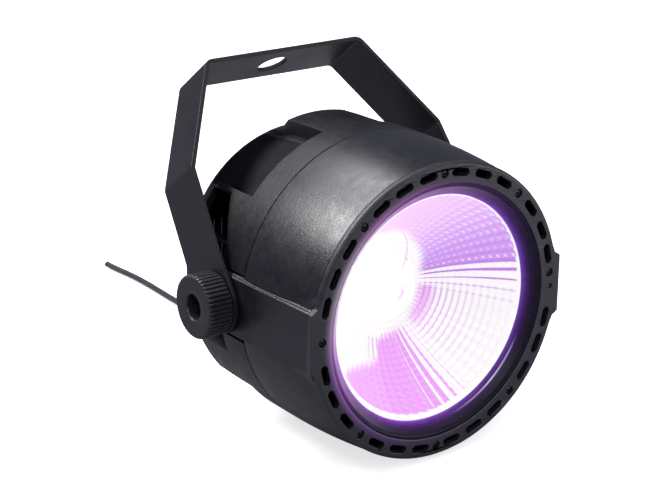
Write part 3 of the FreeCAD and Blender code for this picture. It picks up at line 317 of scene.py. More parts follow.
def powder(name, dark, light, rough, inner_y=None):
    """Powder-coated steel: orange peel, faint speckle. Painted shade: darker behind world y =
    inner_y, inside the body.
    """
    mat = Material(name)
    big = mat.noise(scale=24, detail=4, rough=0.5)
    peel = mat.noise(scale=900, detail=3, rough=0.5)
    fine = mat.noise(scale=3200, detail=2, rough=0.5)
    tone = mat.blend(big, dark, light, over=(0.3, 0.72))
    dust = mat.blend(mat.noise(scale=1400, detail=2, rough=0.5), 0.0, 1.0, over=(0.62, 0.72))
    tone = mat.mix(dust * 0.14, tone, brighter(light, gain=2.2, lift=0.015))
    lighter_edges = (mat.edge_pointiness(over=(0.52, 0.58)) * 0.35).clamped()
    tone = mat.mix(lighter_edges, tone, brighter(light, gain=2.6, lift=0.02))
    spec = 0.45
    if inner_y is not None:
        # painted shade: the side towards the front, into the body, is nearly black
        y = mat.split(mat.place)[1]
        inner_shade = mat.remap(y, to=(0.0, 1.0), over=(inner_y, inner_y - 0.0006))
        tone = mat.mix(inner_shade, tone, (0.002, 0.002, 0.0022))
        spec = (1.0 - inner_shade) * 0.45
    return mat.principled(
        Base_Color=tone, Roughness=mat.remap(big, to=rough),
        Normal=mat.bump((peel, 0.00006, 0.6), (fine, 0.00002, 0.5)), Specular_IOR_Level=spec)


def metal(name, dark, light, rough=(0.22, 0.38), brush=(1, 1, 1), metallic=1.0):
    """Bare or plated metal; brush stretches the grain along one axis."""
    mat = Material(name)
    grain = mat.noise(scale=600, detail=4, rough=0.6, place=mat.mapped(Scale=brush))
    big = mat.noise(scale=60, detail=3, rough=0.5)
    fine = mat.noise(scale=1380, detail=2, rough=0.5)
    return mat.principled(
        Base_Color=mat.blend(grain * 0.6 + big * 0.4, dark, light, over=(0.35, 0.65)),
        Roughness=mat.remap(grain, to=rough),
        Normal=mat.bump((grain, 0.00002, 0.5), (fine, 0.00001, 0.4)), Metallic=metallic)


def board(name):
    """Solder mask over copper tracks."""
    mat = Material(name)
    facing = mat.mapped(Rotation=(math.radians(90), 0, 0))
    brick = {"Vector": facing, "Scale": 260, "Mortar Size": 0.06}
    tracks = mat.add("ShaderNodeTexBrick", brick, output="Fac")
    cloud = mat.noise(scale=120, detail=4, rough=0.6)
    tone = mat.blend(cloud, (0.008, 0.06, 0.022), (0.014, 0.1, 0.035))
    tone = mat.mix(tracks * 0.55, tone, (0.03, 0.19, 0.06))
    dots = mat.blend(mat.voronoi(scale=420, randomness=0.2), 1.0, 0.0, over=(0.16, 0.2))
    tone = mat.mix(dots * 0.8, tone, (0.7, 0.66, 0.55))
    fine = mat.noise(scale=1800, detail=2, rough=0.5)
    return mat.principled(
        Base_Color=tone, Roughness=mat.remap(cloud, to=(0.28, 0.42)),
        Normal=mat.bump((tracks, 0.00004, 0.6), (fine, 0.00001, 0.4)))


def smoked_window(name, tint):
    mat = Material(name)
    cloud = mat.noise(scale=90, detail=4, rough=0.5)
    wave = mat.noise(scale=240, detail=3, rough=0.5)
    return mat.principled(
        Base_Color=mat.blend(cloud, tint, brighter(tint, gain=1.15)),
        Roughness=mat.remap(cloud, to=(0.02, 0.08)), Normal=mat.bump((wave, 0.00002, 0.3)),
        Transmission_Weight=0.95, IOR=1.49)


def glow(name, inner, outer, strength):
    mat = Material(name)
    cloud = mat.noise(scale=700, detail=3, rough=0.5)
    tone = mat.blend(cloud, inner, outer)
    return mat.principled(
        Base_Color=tone, Roughness=0.5, Emission_Color=tone, Emission_Strength=strength,
        Normal=mat.bump((cloud, 0.00003, 0.4)))


def collar_material():
    """Black gloss, with the lamp's violet spill fading out away from the rim."""
    mat = Material("collar_spill")
    radius, turn = mat.polar()
    radius = radius * 1000.0
    mid = mat.noise(scale=260, detail=4, rough=0.6)
    fine = mat.noise(scale=1500, detail=3, rough=0.5)
    swell = mat.noise(scale=120, detail=3, rough=0.5)
    tone = mat.blend(mid, (0.0045, 0.0042, 0.0058), (0.009, 0.0085, 0.0112))
    # a steep fall from the rim, and a wide one that takes over on the -X side
    steep = mat.ramp(
        radius, over=(49.8, 56.2),
        stops=[(0.0, 1.0), (0.13, 0.6), (0.28, 0.24), (0.46, 0.075), (0.7, 0.018), (1.0, 0.0)])
    wide = mat.ramp(
        radius, over=(49.8, 56.6),
        stops=[(0.0, 1.0), (0.2, 0.8), (0.45, 0.6), (0.75, 0.5), (1.0, 0.42)])
    left = mat.around(
        turn, (0, 0.32), (25, 0.16), (60, 0.04), (90, 0.0), (205, 0.0), (230, 0.12), (250, 0.5),
        (268, 0.95), (320, 1.0), (338, 0.7), (360, 0.32))
    fall = steep * (1.0 - left) + wide * left
    swing = mat.around(
        turn, (0, 0.95), (60, 0.9), (95, 0.75), (135, 0.5), (165, 0.8), (200, 1.0), (270, 1.0),
        (310, 0.7), (340, 0.8), (360, 0.95))
    hue = mat.around(
        turn, (0, (0.30, 0.055, 0.52)), (60, (0.17, 0.05, 0.50)), (150, (0.20, 0.05, 0.52)),
        (200, (0.26, 0.05, 0.58)), (255, (0.38, 0.09, 0.62)), (275, (0.46, 0.26, 0.56)),
        (300, (0.5, 0.4, 0.54)), (318, (0.5, 0.26, 0.55)), (335, (0.46, 0.11, 0.56)),
        (360, (0.32, 0.06, 0.52)))
    # a painted highlight: a thin bright arc near the rim, low on the right
    arc = mat.ramp(
        radius, over=(50.7, 52.3), interp="EASE",
        stops=[(0.25, 0.0), (0.45, 1.0), (0.55, 0.9), (0.8, 0.0)])
    arc = arc * mat.around(
        turn, (112, 0.0), (126, 0.7), (140, 1.0), (152, 0.6), (172, 0.0), interp="EASE")
    glow_tone = mat.mix((arc * 0.85).clamped(), hue, (0.84, 0.74, 0.98))
    level = fall * swing * mat.remap(mid, to=(0.85, 1.1)) + arc * 0.75
    return mat.principled(
        Base_Color=tone, Roughness=mat.remap(mid, to=(0.34, 0.46)),
        Normal=mat.bump((fine, 0.00001, 0.4), (swell, 0.00005, 0.12)),
        Emission_Color=glow_tone, Emission_Strength=level, Specular_IOR_Level=0.16)


# painted reflection colour on the facets, and on the lines between them: (turn in degrees, sRGB)
REFLECTION_TONES = [
    (0, (247, 206, 253)), (22, (243, 198, 252)), (36, (232, 186, 251)), (47, (222, 172, 249)),
    (58, (210, 154, 246)), (74, (204, 146, 243)), (77, (255, 251, 255)), (176, (255, 251, 255)),
    (178, (243, 170, 253)), (224, (242, 172, 253)), (238, (243, 186, 254)),
    (246, (248, 214, 254)), (252, (255, 251, 255)), (300, (255, 251, 255)),
    (335, (250, 216, 255)), (360, (247, 206, 253)),
]
REFLECTION_LINE_TONES = [
    (0, (240, 192, 252)), (40, (212, 160, 246)), (66, (198, 136, 238)), (76, (192, 126, 234)),
    (86, (192, 122, 230)), (100, (204, 140, 222)), (125, (226, 160, 238)),
    (150, (240, 168, 250)), (180, (242, 168, 252)), (230, (246, 208, 252)),
    (300, (250, 225, 255)), (360, (240, 192, 252)),
]
# how far out the painted white wash of light reaches: (turn in degrees, share of the bowl)
WASH_REACH = [
    (0, 0.38), (10, 0.33), (25, 0.24), (43, 0.19), (53, 0.16), (69, 0.09), (89, 0.045),
    (120, 0.06), (155, 0.1), (180, 0.14), (196, 0.18), (199, 0.24), (202, 0.42), (210, 0.49),
    (220, 0.56), (230, 0.67), (240, 0.82), (247, 1.0), (252, 1.05), (300, 1.05), (326, 0.75),
    (340, 0.5), (360, 0.38),
]
HAIR_START = 0.0  # turn in degrees of the hairline where rad = 0.39


def reflector_material():
    """Metallised facets lit from the middle, their reflections of the source painted on as
    emission.

    The mesh carries turn (0..1), rad (0 at the base, 1 at the rim), fu and fv (-1..1 across
    and along a facet) and rnd (a fixed random number for each facet).
    """
    mat = Material("reflector_lit")
    turn, rad, fu, fv, rnd = (
        mat.add("ShaderNodeAttribute", output="Fac", attribute_name=name)
        for name in ("turn", "rad", "fu", "fv", "rnd"))
    white = srgb(255, 251, 255)

    def soft(value, edge, width):
        """0 below the edge, 1 above it, across the given width."""
        return ((value - edge) / width + 0.5).clamped()

    def around(*stops):
        return mat.around(turn, *stops)

    base = around(*((degrees, srgb(*tone)) for degrees, tone in REFLECTION_TONES))
    line = around(*((degrees, srgb(*tone)) for degrees, tone in REFLECTION_LINE_TONES))
    across, along = abs(fu), abs(fv)
    # painted reflection lines along the flutes: how much of each flute they fill changes around
    # the bowl
    gate = around(
        (0, 0.86), (30, 0.78), (60, 0.62), (75, 0.5), (81, 0.68), (87, 0.83), (93, 0.94),
        (97, 1.0), (148, 1.0), (153, 0.9), (159, 0.7), (165, 0.45), (171, 0.18), (177, 0.0),
        (178, 1.0), (360, 0.86))
    reach = around(
        (0, 0.25), (30, 0.45), (60, 0.8), (74, 1.0), (93, 0.9), (99, 0.0), (147, 0.0),
        (152, 0.8), (160, 1.0), (177, 1.0), (178, 0.0), (300, 0.0), (360, 0.25))
    rib = soft(across, edge=gate + (rnd - 0.5) * 0.06, width=0.16) * reach
    # painted reflection lines along the rings, strongest close to the source
    arc = soft(along, edge=0.72, width=0.45) * around(
        (0, 0.05), (50, 0.25), (74, 0.3), (90, 0.1), (96, 0.55), (101, 0.95), (140, 1.0),
        (150, 0.35), (156, 0.0), (360, 0.05))
    arc = arc * mat.ramp(rad, [
        (0.0, 0.9), (0.3, 0.85), (0.5, 0.5), (0.72, 0.22), (0.9, 0.07), (1.0, 0.05)])
    # where the two cross, a row of painted reflection dots
    dots = soft(across, edge=0.72, width=0.3) * soft(along, edge=0.45, width=0.5)
    dots = dots * around(
        (0, 0.0), (89, 0.0), (92, 0.85), (99, 0.75), (106, 0.25), (112, 0.0), (360, 0.0))
    dots = dots * mat.ramp(rad, [(0.0, 0.4), (0.12, 1.0), (0.5, 0.75), (1.0, 0.35)])
    lines = arc.maximum(rib).maximum(dots).clamped()
    # the painted pink pool of light beside the source, to the right and below
    pool = mat.ramp(rad, [(0.0, 1.0), (0.14, 0.95), (0.3, 0.0)], interp="EASE") * around(
        (0, 0.0), (94, 0.0), (98, 0.95), (132, 0.9), (146, 0.35), (150, 0.0), (360, 0.0))
    tone = mat.mix(pool, base, srgb(242, 178, 251))
    tone = mat.mix(lines, tone, line)
    # one small painted glint per facet, off centre
    glint_u = fu - 0.12
    glint_v = fv + fu * 0.35
    distance = (glint_u * glint_u * 0.8 + glint_v * glint_v * 0.9).sqrt()
    facet_glint = mat.ramp(distance, [(0.14, 1.0), (0.52, 0.0)], interp="EASE") * around(
        (0, 0.15), (20, 0.3), (38, 0.55), (52, 0.62), (60, 0.45), (66, 0.4), (71, 0.8),
        (75, 0.4), (77, 0.0), (178, 0.0), (330, 0.0), (360, 0.15))
    facet_glint = facet_glint * (rnd * 0.5 + 0.6)
    glint_strength = 1.0
    tone = mat.mix((facet_glint * glint_strength).clamped(), tone, srgb(254, 246, 255))
    # a slanting weave of pale stripes of painted reflection
    weave = ((rad * 96.0 + turn * 480.0) * math.pi).sine().maximum(0.0) * around(
        (0, 0.1), (30, 0.22), (60, 0.3), (74, 0.3), (77, 0.0), (150, 0.0), (200, 0.0),
        (204, 0.25), (222, 0.25), (232, 0.0), (360, 0.1))
    tone = mat.mix(weave, tone, srgb(255, 240, 255))
    # the painted wash of white light close to the source and on the -X wall
    hold = around(*WASH_REACH) - 0.02
    wash = (1.0 - soft(rad, edge=hold + abs(fu) * 0.05, width=0.1)).clamped()
    tone = mat.mix(wash, tone, white)
    # a few painted reflection lines along the flutes, standing in the white, low on the -X side
    streak = soft(across, edge=0.62, width=0.3) * around(
        (0, 0.0), (193, 0.0), (196, 0.9), (209, 0.8), (214, 0.35), (219, 0.0), (360, 0.0))
    streak = streak * mat.ramp(rad, [(0.17, 0.0), (0.21, 1.0), (0.42, 0.8), (0.5, 0.0)])
    tone = mat.mix(streak * wash, tone, srgb(226, 176, 232))
    # a thin curved painted reflection line on the upper wall
    bend = turn * 360.0 - ((0.39 - rad) * 104.0 + HAIR_START)
    hair = (1.0 - soft(abs(bend), edge=1.5, width=1.2)).clamped()
    hair = hair * mat.ramp(rad, [(0.0, 0.6), (0.22, 0.6), (0.38, 0.1)])
    hair = hair * around((0, 0.4), (8, 0.8), (50, 1.0), (56, 0.0), (350, 0.0), (360, 0.4))
    tone = mat.mix(hair, tone, srgb(232, 186, 224))
    # a painted highlight along the rim: a plain bright line with a scalloped inner edge
    lip = around(
        (0, 1.02), (40, 1.0), (70, 0.992), (90, 0.985), (110, 0.975), (150, 0.966),
        (215, 0.96), (260, 0.97), (330, 1.0), (360, 1.02))
    scallop = fu * fu * -0.014
    tone = mat.mix(soft(rad, edge=lip + scallop, width=0.012), tone, grey(1))
    haze = mat.noise(scale=900, detail=3, rough=0.5)
    gloss = {"Color": (0.95, 0.9, 1.0), "Roughness": mat.remap(haze, to=(0.06, 0.16))}
    return mat.lit_gloss(tone, power=2.3, camera_change=-1.3, gloss=gloss)


def lens_material():
    """White glow, with painted reflections: faint pink rings low down and a hairline."""
    mat = Material("lens_lit")
    radius, turn = mat.polar()
    share = radius / (LENS_R * MM)
    degrees = turn * 360.0
    veil = mat.noise(scale=300, detail=4, rough=0.6)
    low = mat.ramp(
        degrees, over=(60, 200),
        stops=[(0.0, 0.0), (0.15, 0.5), (0.35, 1.0), (0.6, 0.7), (0.85, 0.0)])
    lower = mat.ramp(
        degrees, over=(90, 200), stops=[(0.15, 0.0), (0.45, 0.8), (0.75, 0.8), (1.0, 0.0)])
    outer_ring = mat.ramp(share, [(0.66, 0.0), (0.7, 1.0), (0.74, 0.0)]) * lower
    inner_ring = mat.ramp(share, [(0.22, 0.0), (0.3, 1.0), (0.37, 0.9), (0.43, 0.0)]) * low
    bend = degrees - ((share - 0.66) * 24.0 + 32.0)
    hair = mat.remap(abs(bend), to=(1.0, 0.0), over=(1.4, 3.6))
    hair = hair * mat.ramp(share, [(0.55, 0.0), (0.7, 0.5), (1.0, 0.6)])
    reflection_marks = (outer_ring * 0.5).maximum(inner_ring * 0.85).maximum(hair).clamped()
    reflection_marks = reflection_marks * mat.remap(veil, to=(0.75, 1.0))
    tone = mat.mix(reflection_marks, grey(1), srgb(236, 188, 230))
    return mat.lit_gloss(tone, power=5.04, camera_change=-4.0, gloss={"Roughness": 0.05})


def cable_material():
    mat = Material("cable_pvc")
    lengthwise = mat.mapped(Scale=(1, 0.12, 1))
    streak = mat.noise(scale=1300, detail=4, rough=0.6, place=lengthwise)
    big = mat.noise(scale=45, detail=4, rough=0.6)
    return mat.principled(
        Base_Color=mat.blend(big, (0.007, 0.007, 0.008), (0.013, 0.013, 0.014)),
        Roughness=mat.remap(streak, to=(0.3, 0.42)),
        Normal=mat.bump((streak, 0.00002, 0.3), (big, 0.0002, 0.1)),
        Specular_IOR_Level=1.0, Coat_Weight=1.0, Coat_Roughness=0.3)


def numeral_material():
    mat = Material("numeral_red")
    cloud = mat.noise(scale=900, detail=3, rough=0.5)
    return mat.principled(
        Base_Color=(0.2, 0.01, 0.01), Roughness=0.4,
        Emission_Color=mat.blend(cloud, (1.0, 0.05, 0.02), (1.0, 0.1, 0.04)),
        Emission_Strength=mat.remap(cloud, to=(30.0, 42.0)),
        Normal=mat.bump((cloud, 0.00002, 0.3)))


def floor_material():
    """White to the camera; to other rays a paper that is darker towards -X."""
    mat = Material("floor_paper")
    camera = mat.camera_ray()
    bounce = mat.ramp(mat.split(mat.place)[0], over=(-0.5, 0.7), stops=[
        (0.0, (0.16, 0.16, 0.19)), (0.35, (0.26, 0.26, 0.29)), (0.7, (0.62, 0.61, 0.66)),
        (1.0, (0.66, 0.65, 0.7))])
    tone = mat.mix(camera, bounce, grey(0.9))
    diffuse = mat.add("ShaderNodeBsdfDiffuse", {"Color": tone})
    shine = {"Color": grey(1), "Strength": camera * 0.72}
    emission = mat.add("ShaderNodeEmission", shine)
    return mat.done(mat.add("ShaderNodeAddShader", {0: diffuse, 1: emission}))


LENS_R = 15.0

# material slot -> material; the two colours are the dark and light ends of its mottling
MATERIALS = {
    "housing_plastic": moulded(
        "housing_abs", (0.007, 0.0072, 0.0097), (0.0125, 0.0128, 0.0168),
        rough=(0.29, 0.4), scale=1300, edge=0.5, lump=0.3),
    "bezel_plastic": moulded(
        "bezel_abs", (0.0115, 0.0117, 0.015), (0.0195, 0.0198, 0.0245),
        rough=(0.36, 0.5), grain=0.00004, scale=1900, edge=0.8, spill=True),
    "knob_plastic": moulded(
        "knob_nylon", (0.010, 0.010, 0.013), (0.018, 0.018, 0.0225),
        rough=(0.36, 0.5), grain=0.00003, scale=1600, edge=0.5),
    "collar_plastic": collar_material(),
    "fan_plastic": moulded(
        "fan_pbt", (0.008, 0.008, 0.009), (0.014, 0.014, 0.015), rough=(0.36, 0.5)),
    "socket_black": moulded(
        "socket_zamak", (0.009, 0.009, 0.01), (0.015, 0.015, 0.017),
        rough=(0.32, 0.44), edge=0.4),
    "socket_insert": moulded(
        "socket_nylon", (0.016, 0.016, 0.017), (0.026, 0.026, 0.028), rough=(0.4, 0.52)),
    "switch_black": moulded("switch_body", grey(0.012), grey(0.022)),
    "display_black": moulded("display_case", grey(0.008), grey(0.014), rough=(0.25, 0.35)),
    "gland_rubber": moulded(
        "gland_rubber", grey(0.008), grey(0.015), rough=(0.55, 0.7), scale=1100),
    "friction_rubber": moulded("friction_rubber", grey(0.01), grey(0.02), rough=(0.6, 0.8)),
    "button_grey": moulded(
        "button_silicone", (0.06, 0.062, 0.068), (0.09, 0.092, 0.1),
        rough=(0.5, 0.66), grain=0.00003),
    "thermal_sheet": moulded(
        "thermal_sheet", (0.16, 0.17, 0.19), (0.22, 0.23, 0.25), rough=(0.6, 0.75)),
    # painted light: the holder glows as if flooded by the LED
    "holder_plastic": glow(
        "holder_pps_painted_glow", (0.86, 0.84, 0.88), (0.96, 0.95, 0.98), strength=0.8),
    "terminal_green": moulded(
        "terminal_pa", (0.02, 0.13, 0.05), (0.03, 0.19, 0.075), rough=(0.4, 0.5)),
    "capacitor_sleeve": moulded(
        "capacitor_sleeve", (0.008, 0.012, 0.035), (0.012, 0.018, 0.055), rough=(0.2, 0.3)),
    "transformer_tape": moulded(
        "transformer_tape", (0.42, 0.26, 0.015), (0.58, 0.37, 0.03), rough=(0.3, 0.42)),
    "core_insulation": moulded(
        "core_insulation", (0.07, 0.022, 0.01), (0.11, 0.035, 0.016), rough=(0.3, 0.4)),
    # dark red: the wires' red darkened as painted shade inside the head
    "lead_insulation": moulded(
        "lead_insulation", (0.03, 0.003, 0.0025), (0.05, 0.004, 0.0035),
        rough=(0.45, 0.6), spec=0.3),
    "yoke_paint": powder(
        "yoke_powder", (0.0046, 0.0048, 0.0068), (0.0078, 0.0081, 0.011), rough=(0.38, 0.52)),
    "cover_paint": powder(
        "cover_powder", (0.012, 0.012, 0.013), (0.019, 0.019, 0.021),
        rough=(0.45, 0.6), inner_y=-0.0364),
    "black_screw": metal(
        "screw_black_oxide", (0.02, 0.02, 0.021), (0.05, 0.05, 0.052), rough=(0.25, 0.4)),
    "bright_screw": metal("screw_zinc", grey(0.42), (0.66, 0.66, 0.65)),
    # steel spacers darkened nearly to black: painted shade inside the vent windows
    "spacer_steel": metal(
        "spacer_darkened_steel", (0.008, 0.008, 0.009), (0.02, 0.02, 0.021),
        rough=(0.5, 0.65), brush=(1, 0.05, 1), metallic=0.6),
    "latch_metal": metal(
        "latch_steel", (0.45, 0.45, 0.46), (0.66, 0.66, 0.67), brush=(0.1, 1, 1)),
    "washer_steel": metal("washer_zinc", grey(0.38), (0.62, 0.62, 0.61)),
    "bolt_steel": metal(
        "bolt_black_zinc", (0.05, 0.05, 0.052), (0.14, 0.14, 0.145), rough=(0.2, 0.34)),
    "insert_brass": metal("insert_brass", (0.5, 0.33, 0.12), (0.72, 0.5, 0.2)),
    "contact_metal": metal(
        "contact_gold", (0.55, 0.37, 0.12), (0.8, 0.58, 0.22), rough=(0.15, 0.28)),
    "stator_copper": metal(
        "stator_copper", (0.42, 0.14, 0.05), (0.64, 0.25, 0.1), brush=(1, 8, 1)),
    # heat sink drawn nearly black, which keeps the vent windows dark
    "sink_aluminium": metal(
        "sink_nearly_black", (0.005, 0.005, 0.0055), (0.011, 0.011, 0.012),
        rough=(0.55, 0.7), brush=(1, 0.04, 1), metallic=0.2),
    "board_white": metal(
        "led_board", grey(0.6), grey(0.78), rough=(0.35, 0.5), metallic=0.2),
    "microphone_can": metal("microphone_can", grey(0.35), grey(0.55)),
    "board_green": board("solder_mask"),
    "window_smoke": smoked_window("window_smoke", tint=(0.3, 0.04, 0.04)),
    "emitter_phosphor": glow(
        "emitter_phosphor", (1.0, 0.94, 0.8), (1.0, 0.97, 0.88), strength=6.0),
    "reflector_film": reflector_material(),
    "lens_clear": lens_material(),
    "cable_jacket": cable_material(),
}
# a darker copy of the housing plastic for the rear drum: painted shade
DRUM_SHADED = moulded(
    "drum_abs_shaded", (0.0042, 0.0044, 0.0062), (0.0085, 0.0088, 0.0118),
    rough=(0.34, 0.46), grain=0.00006, scale=1300, edge=0.5, lump=0.25, spec=0.4)
# a darker, matte copy for the pocket floors: painted shade in the recesses
POCKET_SHADE = moulded(
    "drum_pocket_shade", (0.0022, 0.0023, 0.0034), (0.0042, 0.0043, 0.006),
    rough=(0.62, 0.8), grain=0.00006, scale=1300, spec=0.18)
# a near-black copy for the inner skins: painted shade inside the head
INSIDE_SHADE = moulded(
    "housing_inside_shade", (0.0025, 0.0025, 0.003), (0.0045, 0.0045, 0.005),
    rough=(0.7, 0.85), spec=0.15)
BACKING = moulded(
    "reflector_back", (0.004, 0.004, 0.0045), (0.007, 0.007, 0.008), rough=(0.6, 0.75), spec=0.2)

for node_name, node_object in NODES.items():
    node_object.data.materials.clear()
    node_object.data.materials.append(MATERIALS[SLOT[node_name]])


# ------------------------------------------------------------------ mesh helpers


@contextmanager
def editing(mesh):
    bm = bmesh.new()
    bm.from_mesh(mesh)
    yield bm
    bm.to_mesh(mesh)
    bm.free()


def link_object(name, data):
    thing = bpy.data.objects.new(name, data)
    bpy.context.scene.collection.objects.link(thing)
    return thing


def new_object(name, verts, faces, materials, face_slots=None, corner_values=None):
    """An object from vertices in head millimetres, free of loose ones, normals outward."""
    mesh = bpy.data.meshes.new(name)
    mesh.from_pydata([head_to_world(*v) for v in verts], [], faces)
    for key, values in (corner_values or {}).items():
        attribute = mesh.attributes.new(key, "FLOAT", "CORNER")
        attribute.data.foreach_set("value", np.asarray(values, np.float32))
    for material in materials:
        mesh.materials.append(material)
    if face_slots:
        mesh.polygons.foreach_set("material_index", np.asarray(face_slots, np.int32))
    with editing(mesh) as bm:
        loose = [v for v in bm.verts if not v.link_faces]
        bmesh.ops.delete(bm, geom=loose, context="VERTS")
        bmesh.ops.recalc_face_normals(bm, faces=bm.faces)
    return link_object(name, mesh)


def mesh_piece(name, verts, faces, like, smooth_below, materials=None, **more):
    """A new piece that stands for node `like`, smooth across edges below an angle."""
    materials = materials or [MATERIALS[SLOT[like]]]
    piece = new_object(name, verts, faces, materials, **more)
    mesh = piece.data
    mesh.polygons.foreach_set("use_smooth", np.ones(len(mesh.polygons), bool))
    limit = math.radians(smooth_below)
    with editing(mesh) as bm:
        for edge in bm.edges:
            edge.smooth = len(edge.link_faces) == 2 and edge.calc_face_angle(0) < limit
    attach(piece, BODY_OF[like])
    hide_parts(like)
    return piece


def add_bevel(piece, width, segments, angle):
    """width in millimetres, angle in degrees."""
    modifier = piece.modifiers.new("edge", "BEVEL")
    modifier.width = width * MM
    modifier.segments = segments
    modifier.limit_method = "ANGLE"
    modifier.angle_limit = math.radians(angle)
    modifier.use_clamp_overlap = True


def add_weighted_normals(piece, weight=80):
    piece.modifiers.new("weights", "WEIGHTED_NORMAL").weight = weight


def at(position, table):
    """Linear reading of a table of (position, value)."""
    return float(np.interp(position, [row[0] for row in table], [row[1] for row in table]))


def shell(turns, ys, outer, inner, keep):
    """A double-skinned drum from arrays of rows by wrapping columns.

    keep tells which cells exist. Also gives each face's slot: 1 on the inner skin, else 0.
    """
    rows, cols = turns.shape
    verts, faces, face_slots = [], [], []
    for radii in (outer, inner):
        for i in range(rows):
            for j in range(cols):
                turn, radius = turns[i, j], radii[i, j]
                verts.append((radius * math.sin(turn), ys[i, j], radius * math.cos(turn)))

    def vertex(cell, skin):
        return skin * rows * cols + cell[0] * cols + cell[1] % cols

    for i in range(rows - 1):
        for j in range(cols):
            if not keep[i, j]:
                continue
            ring = [(i, j), (i, j + 1), (i + 1, j + 1), (i + 1, j)]
            faces.append([vertex(p, 0) for p in ring])
            faces.append([vertex(p, 1) for p in reversed(ring)])
            face_slots += [0, 1]
            neighbours = ((i - 1, j), (i, j + 1), (i + 1, j), (i, j - 1))
            for side, (ni, nj) in enumerate(neighbours):
                if ni < 0 or ni >= rows - 1 or not keep[ni, nj % cols]:
                    p, q = ring[side], ring[(side + 1) % 4]
                    faces.append([vertex(q, 0), vertex(p, 0), vertex(p, 1), vertex(q, 1)])
                    face_slots.append(0)
    return verts, faces, face_slots


def wrapped_faces(columns, points):
    """Quads of a closed profile of `points` carried round `columns` steps."""
    faces = []
    for j in range(columns):
        here, beyond = j * points, ((j + 1) % columns) * points
        for i in range(points):
            up = (i + 1) % points
            faces.append([here + i, here + up, beyond + up, beyond + i])
    return faces


def lathe(profile, columns):
    """A closed profile of (radius, y) points turned about the beam axis."""
    verts = []
    for j in range(columns):
        turn = 2 * math.pi * j / columns
        verts += [(r * math.sin(turn), y, r * math.cos(turn)) for r, y in profile]
    return verts, wrapped_faces(columns, len(profile))


def rounded(points, radii, steps):
    """The outline with each corner rounded to its radius."""
    outline = []
    for i, (point, radius) in enumerate(zip(points, radii)):
        if radius <= 0:
            outline.append(tuple(point))
            continue
        corner = np.array(point, float)
        back = np.array(points[i - 1], float) - corner
        ahead = np.array(points[(i + 1) % len(points)], float) - corner
        back_length, ahead_length = np.linalg.norm(back), np.linalg.norm(ahead)
        back, ahead = back / back_length, ahead / ahead_length
        half = 0.5 * math.acos(max(-1, min(1, float(back @ ahead))))
        if half > math.radians(86):
            outline.append(tuple(point))
            continue
        reach = min(radius / math.tan(half), back_length * 0.45, ahead_length * 0.45)
        fitted = reach * math.tan(half)
        bisector = (back + ahead) / np.linalg.norm(back + ahead)
        centre = corner + bisector * (fitted / math.sin(half))
        start, end = corner + back * reach - centre, corner + ahead * reach - centre
        for step in range(steps + 1):
            share = step / steps
            spoke = start * (1 - share) + end * share
            outline.append(tuple(centre + spoke / np.linalg.norm(spoke) * fitted))
    return outline


# ------------------------------------------------------------------ front housing

SIDE_LIMIT = 67.4  # nothing on the two housings reaches further out in x
BARREL_PROFILE = [(3, 64.9), (26, 67.1), (48.75, 67.6)]  # (y, radius) joined by a parabola
BARREL_STATIONS = [3.0, 3.25] + list(np.linspace(4.2, 47.6, 27)) + [48.2, 48.75]
TONGUE_STATIONS = [48.76, 52, 58, 64, 70, 76, 81.2, 82.0]
TONGUE_R = 62.4

# the raised flat pads at +X and -X
PAD_FACE = [(3, 66.0), (48.75, 67.4), (90, 67.4)]  # (y, x of the face)
PAD_TOP, PAD_FOOT = 12.8, 13.95  # z where the pad's bevelled wall starts and ends
PAD_EDGE = 0.16
PAD_SLOPE = 1.4  # x lost per z down the wall
PAD_GROOVE = 0.42
GROOVE_STOPS = ((0.3, 0), (0.36, 1), (0.62, 1), (0.68, 0))  # (share down the wall, in groove)


def limit_sides(turns, radii):
    """Cut the drum flat at x = +-SIDE_LIMIT."""
    side = np.abs(np.sin(turns))
    return np.minimum(radii, SIDE_LIMIT / np.maximum(side, 1e-9))


def barrel_radius(y):
    total = 0
    for station, radius in BARREL_PROFILE:
        a, b = (other for other, _ in BARREL_PROFILE if other != station)
        total += (y - a) * (y - b) / ((station - a) * (station - b)) * radius
    return total


def wall_meets_barrel(face, barrel):
    """Where the pad's sloping wall dips under the barrel, by halving."""
    low, high = PAD_TOP, PAD_FOOT
    for _ in range(40):
        z = (low + high) / 2
        if math.hypot(face - PAD_SLOPE * (z - PAD_TOP), z) > barrel:
            low = z
        else:
            high = z
    return (face - PAD_SLOPE * (low - PAD_TOP), low)


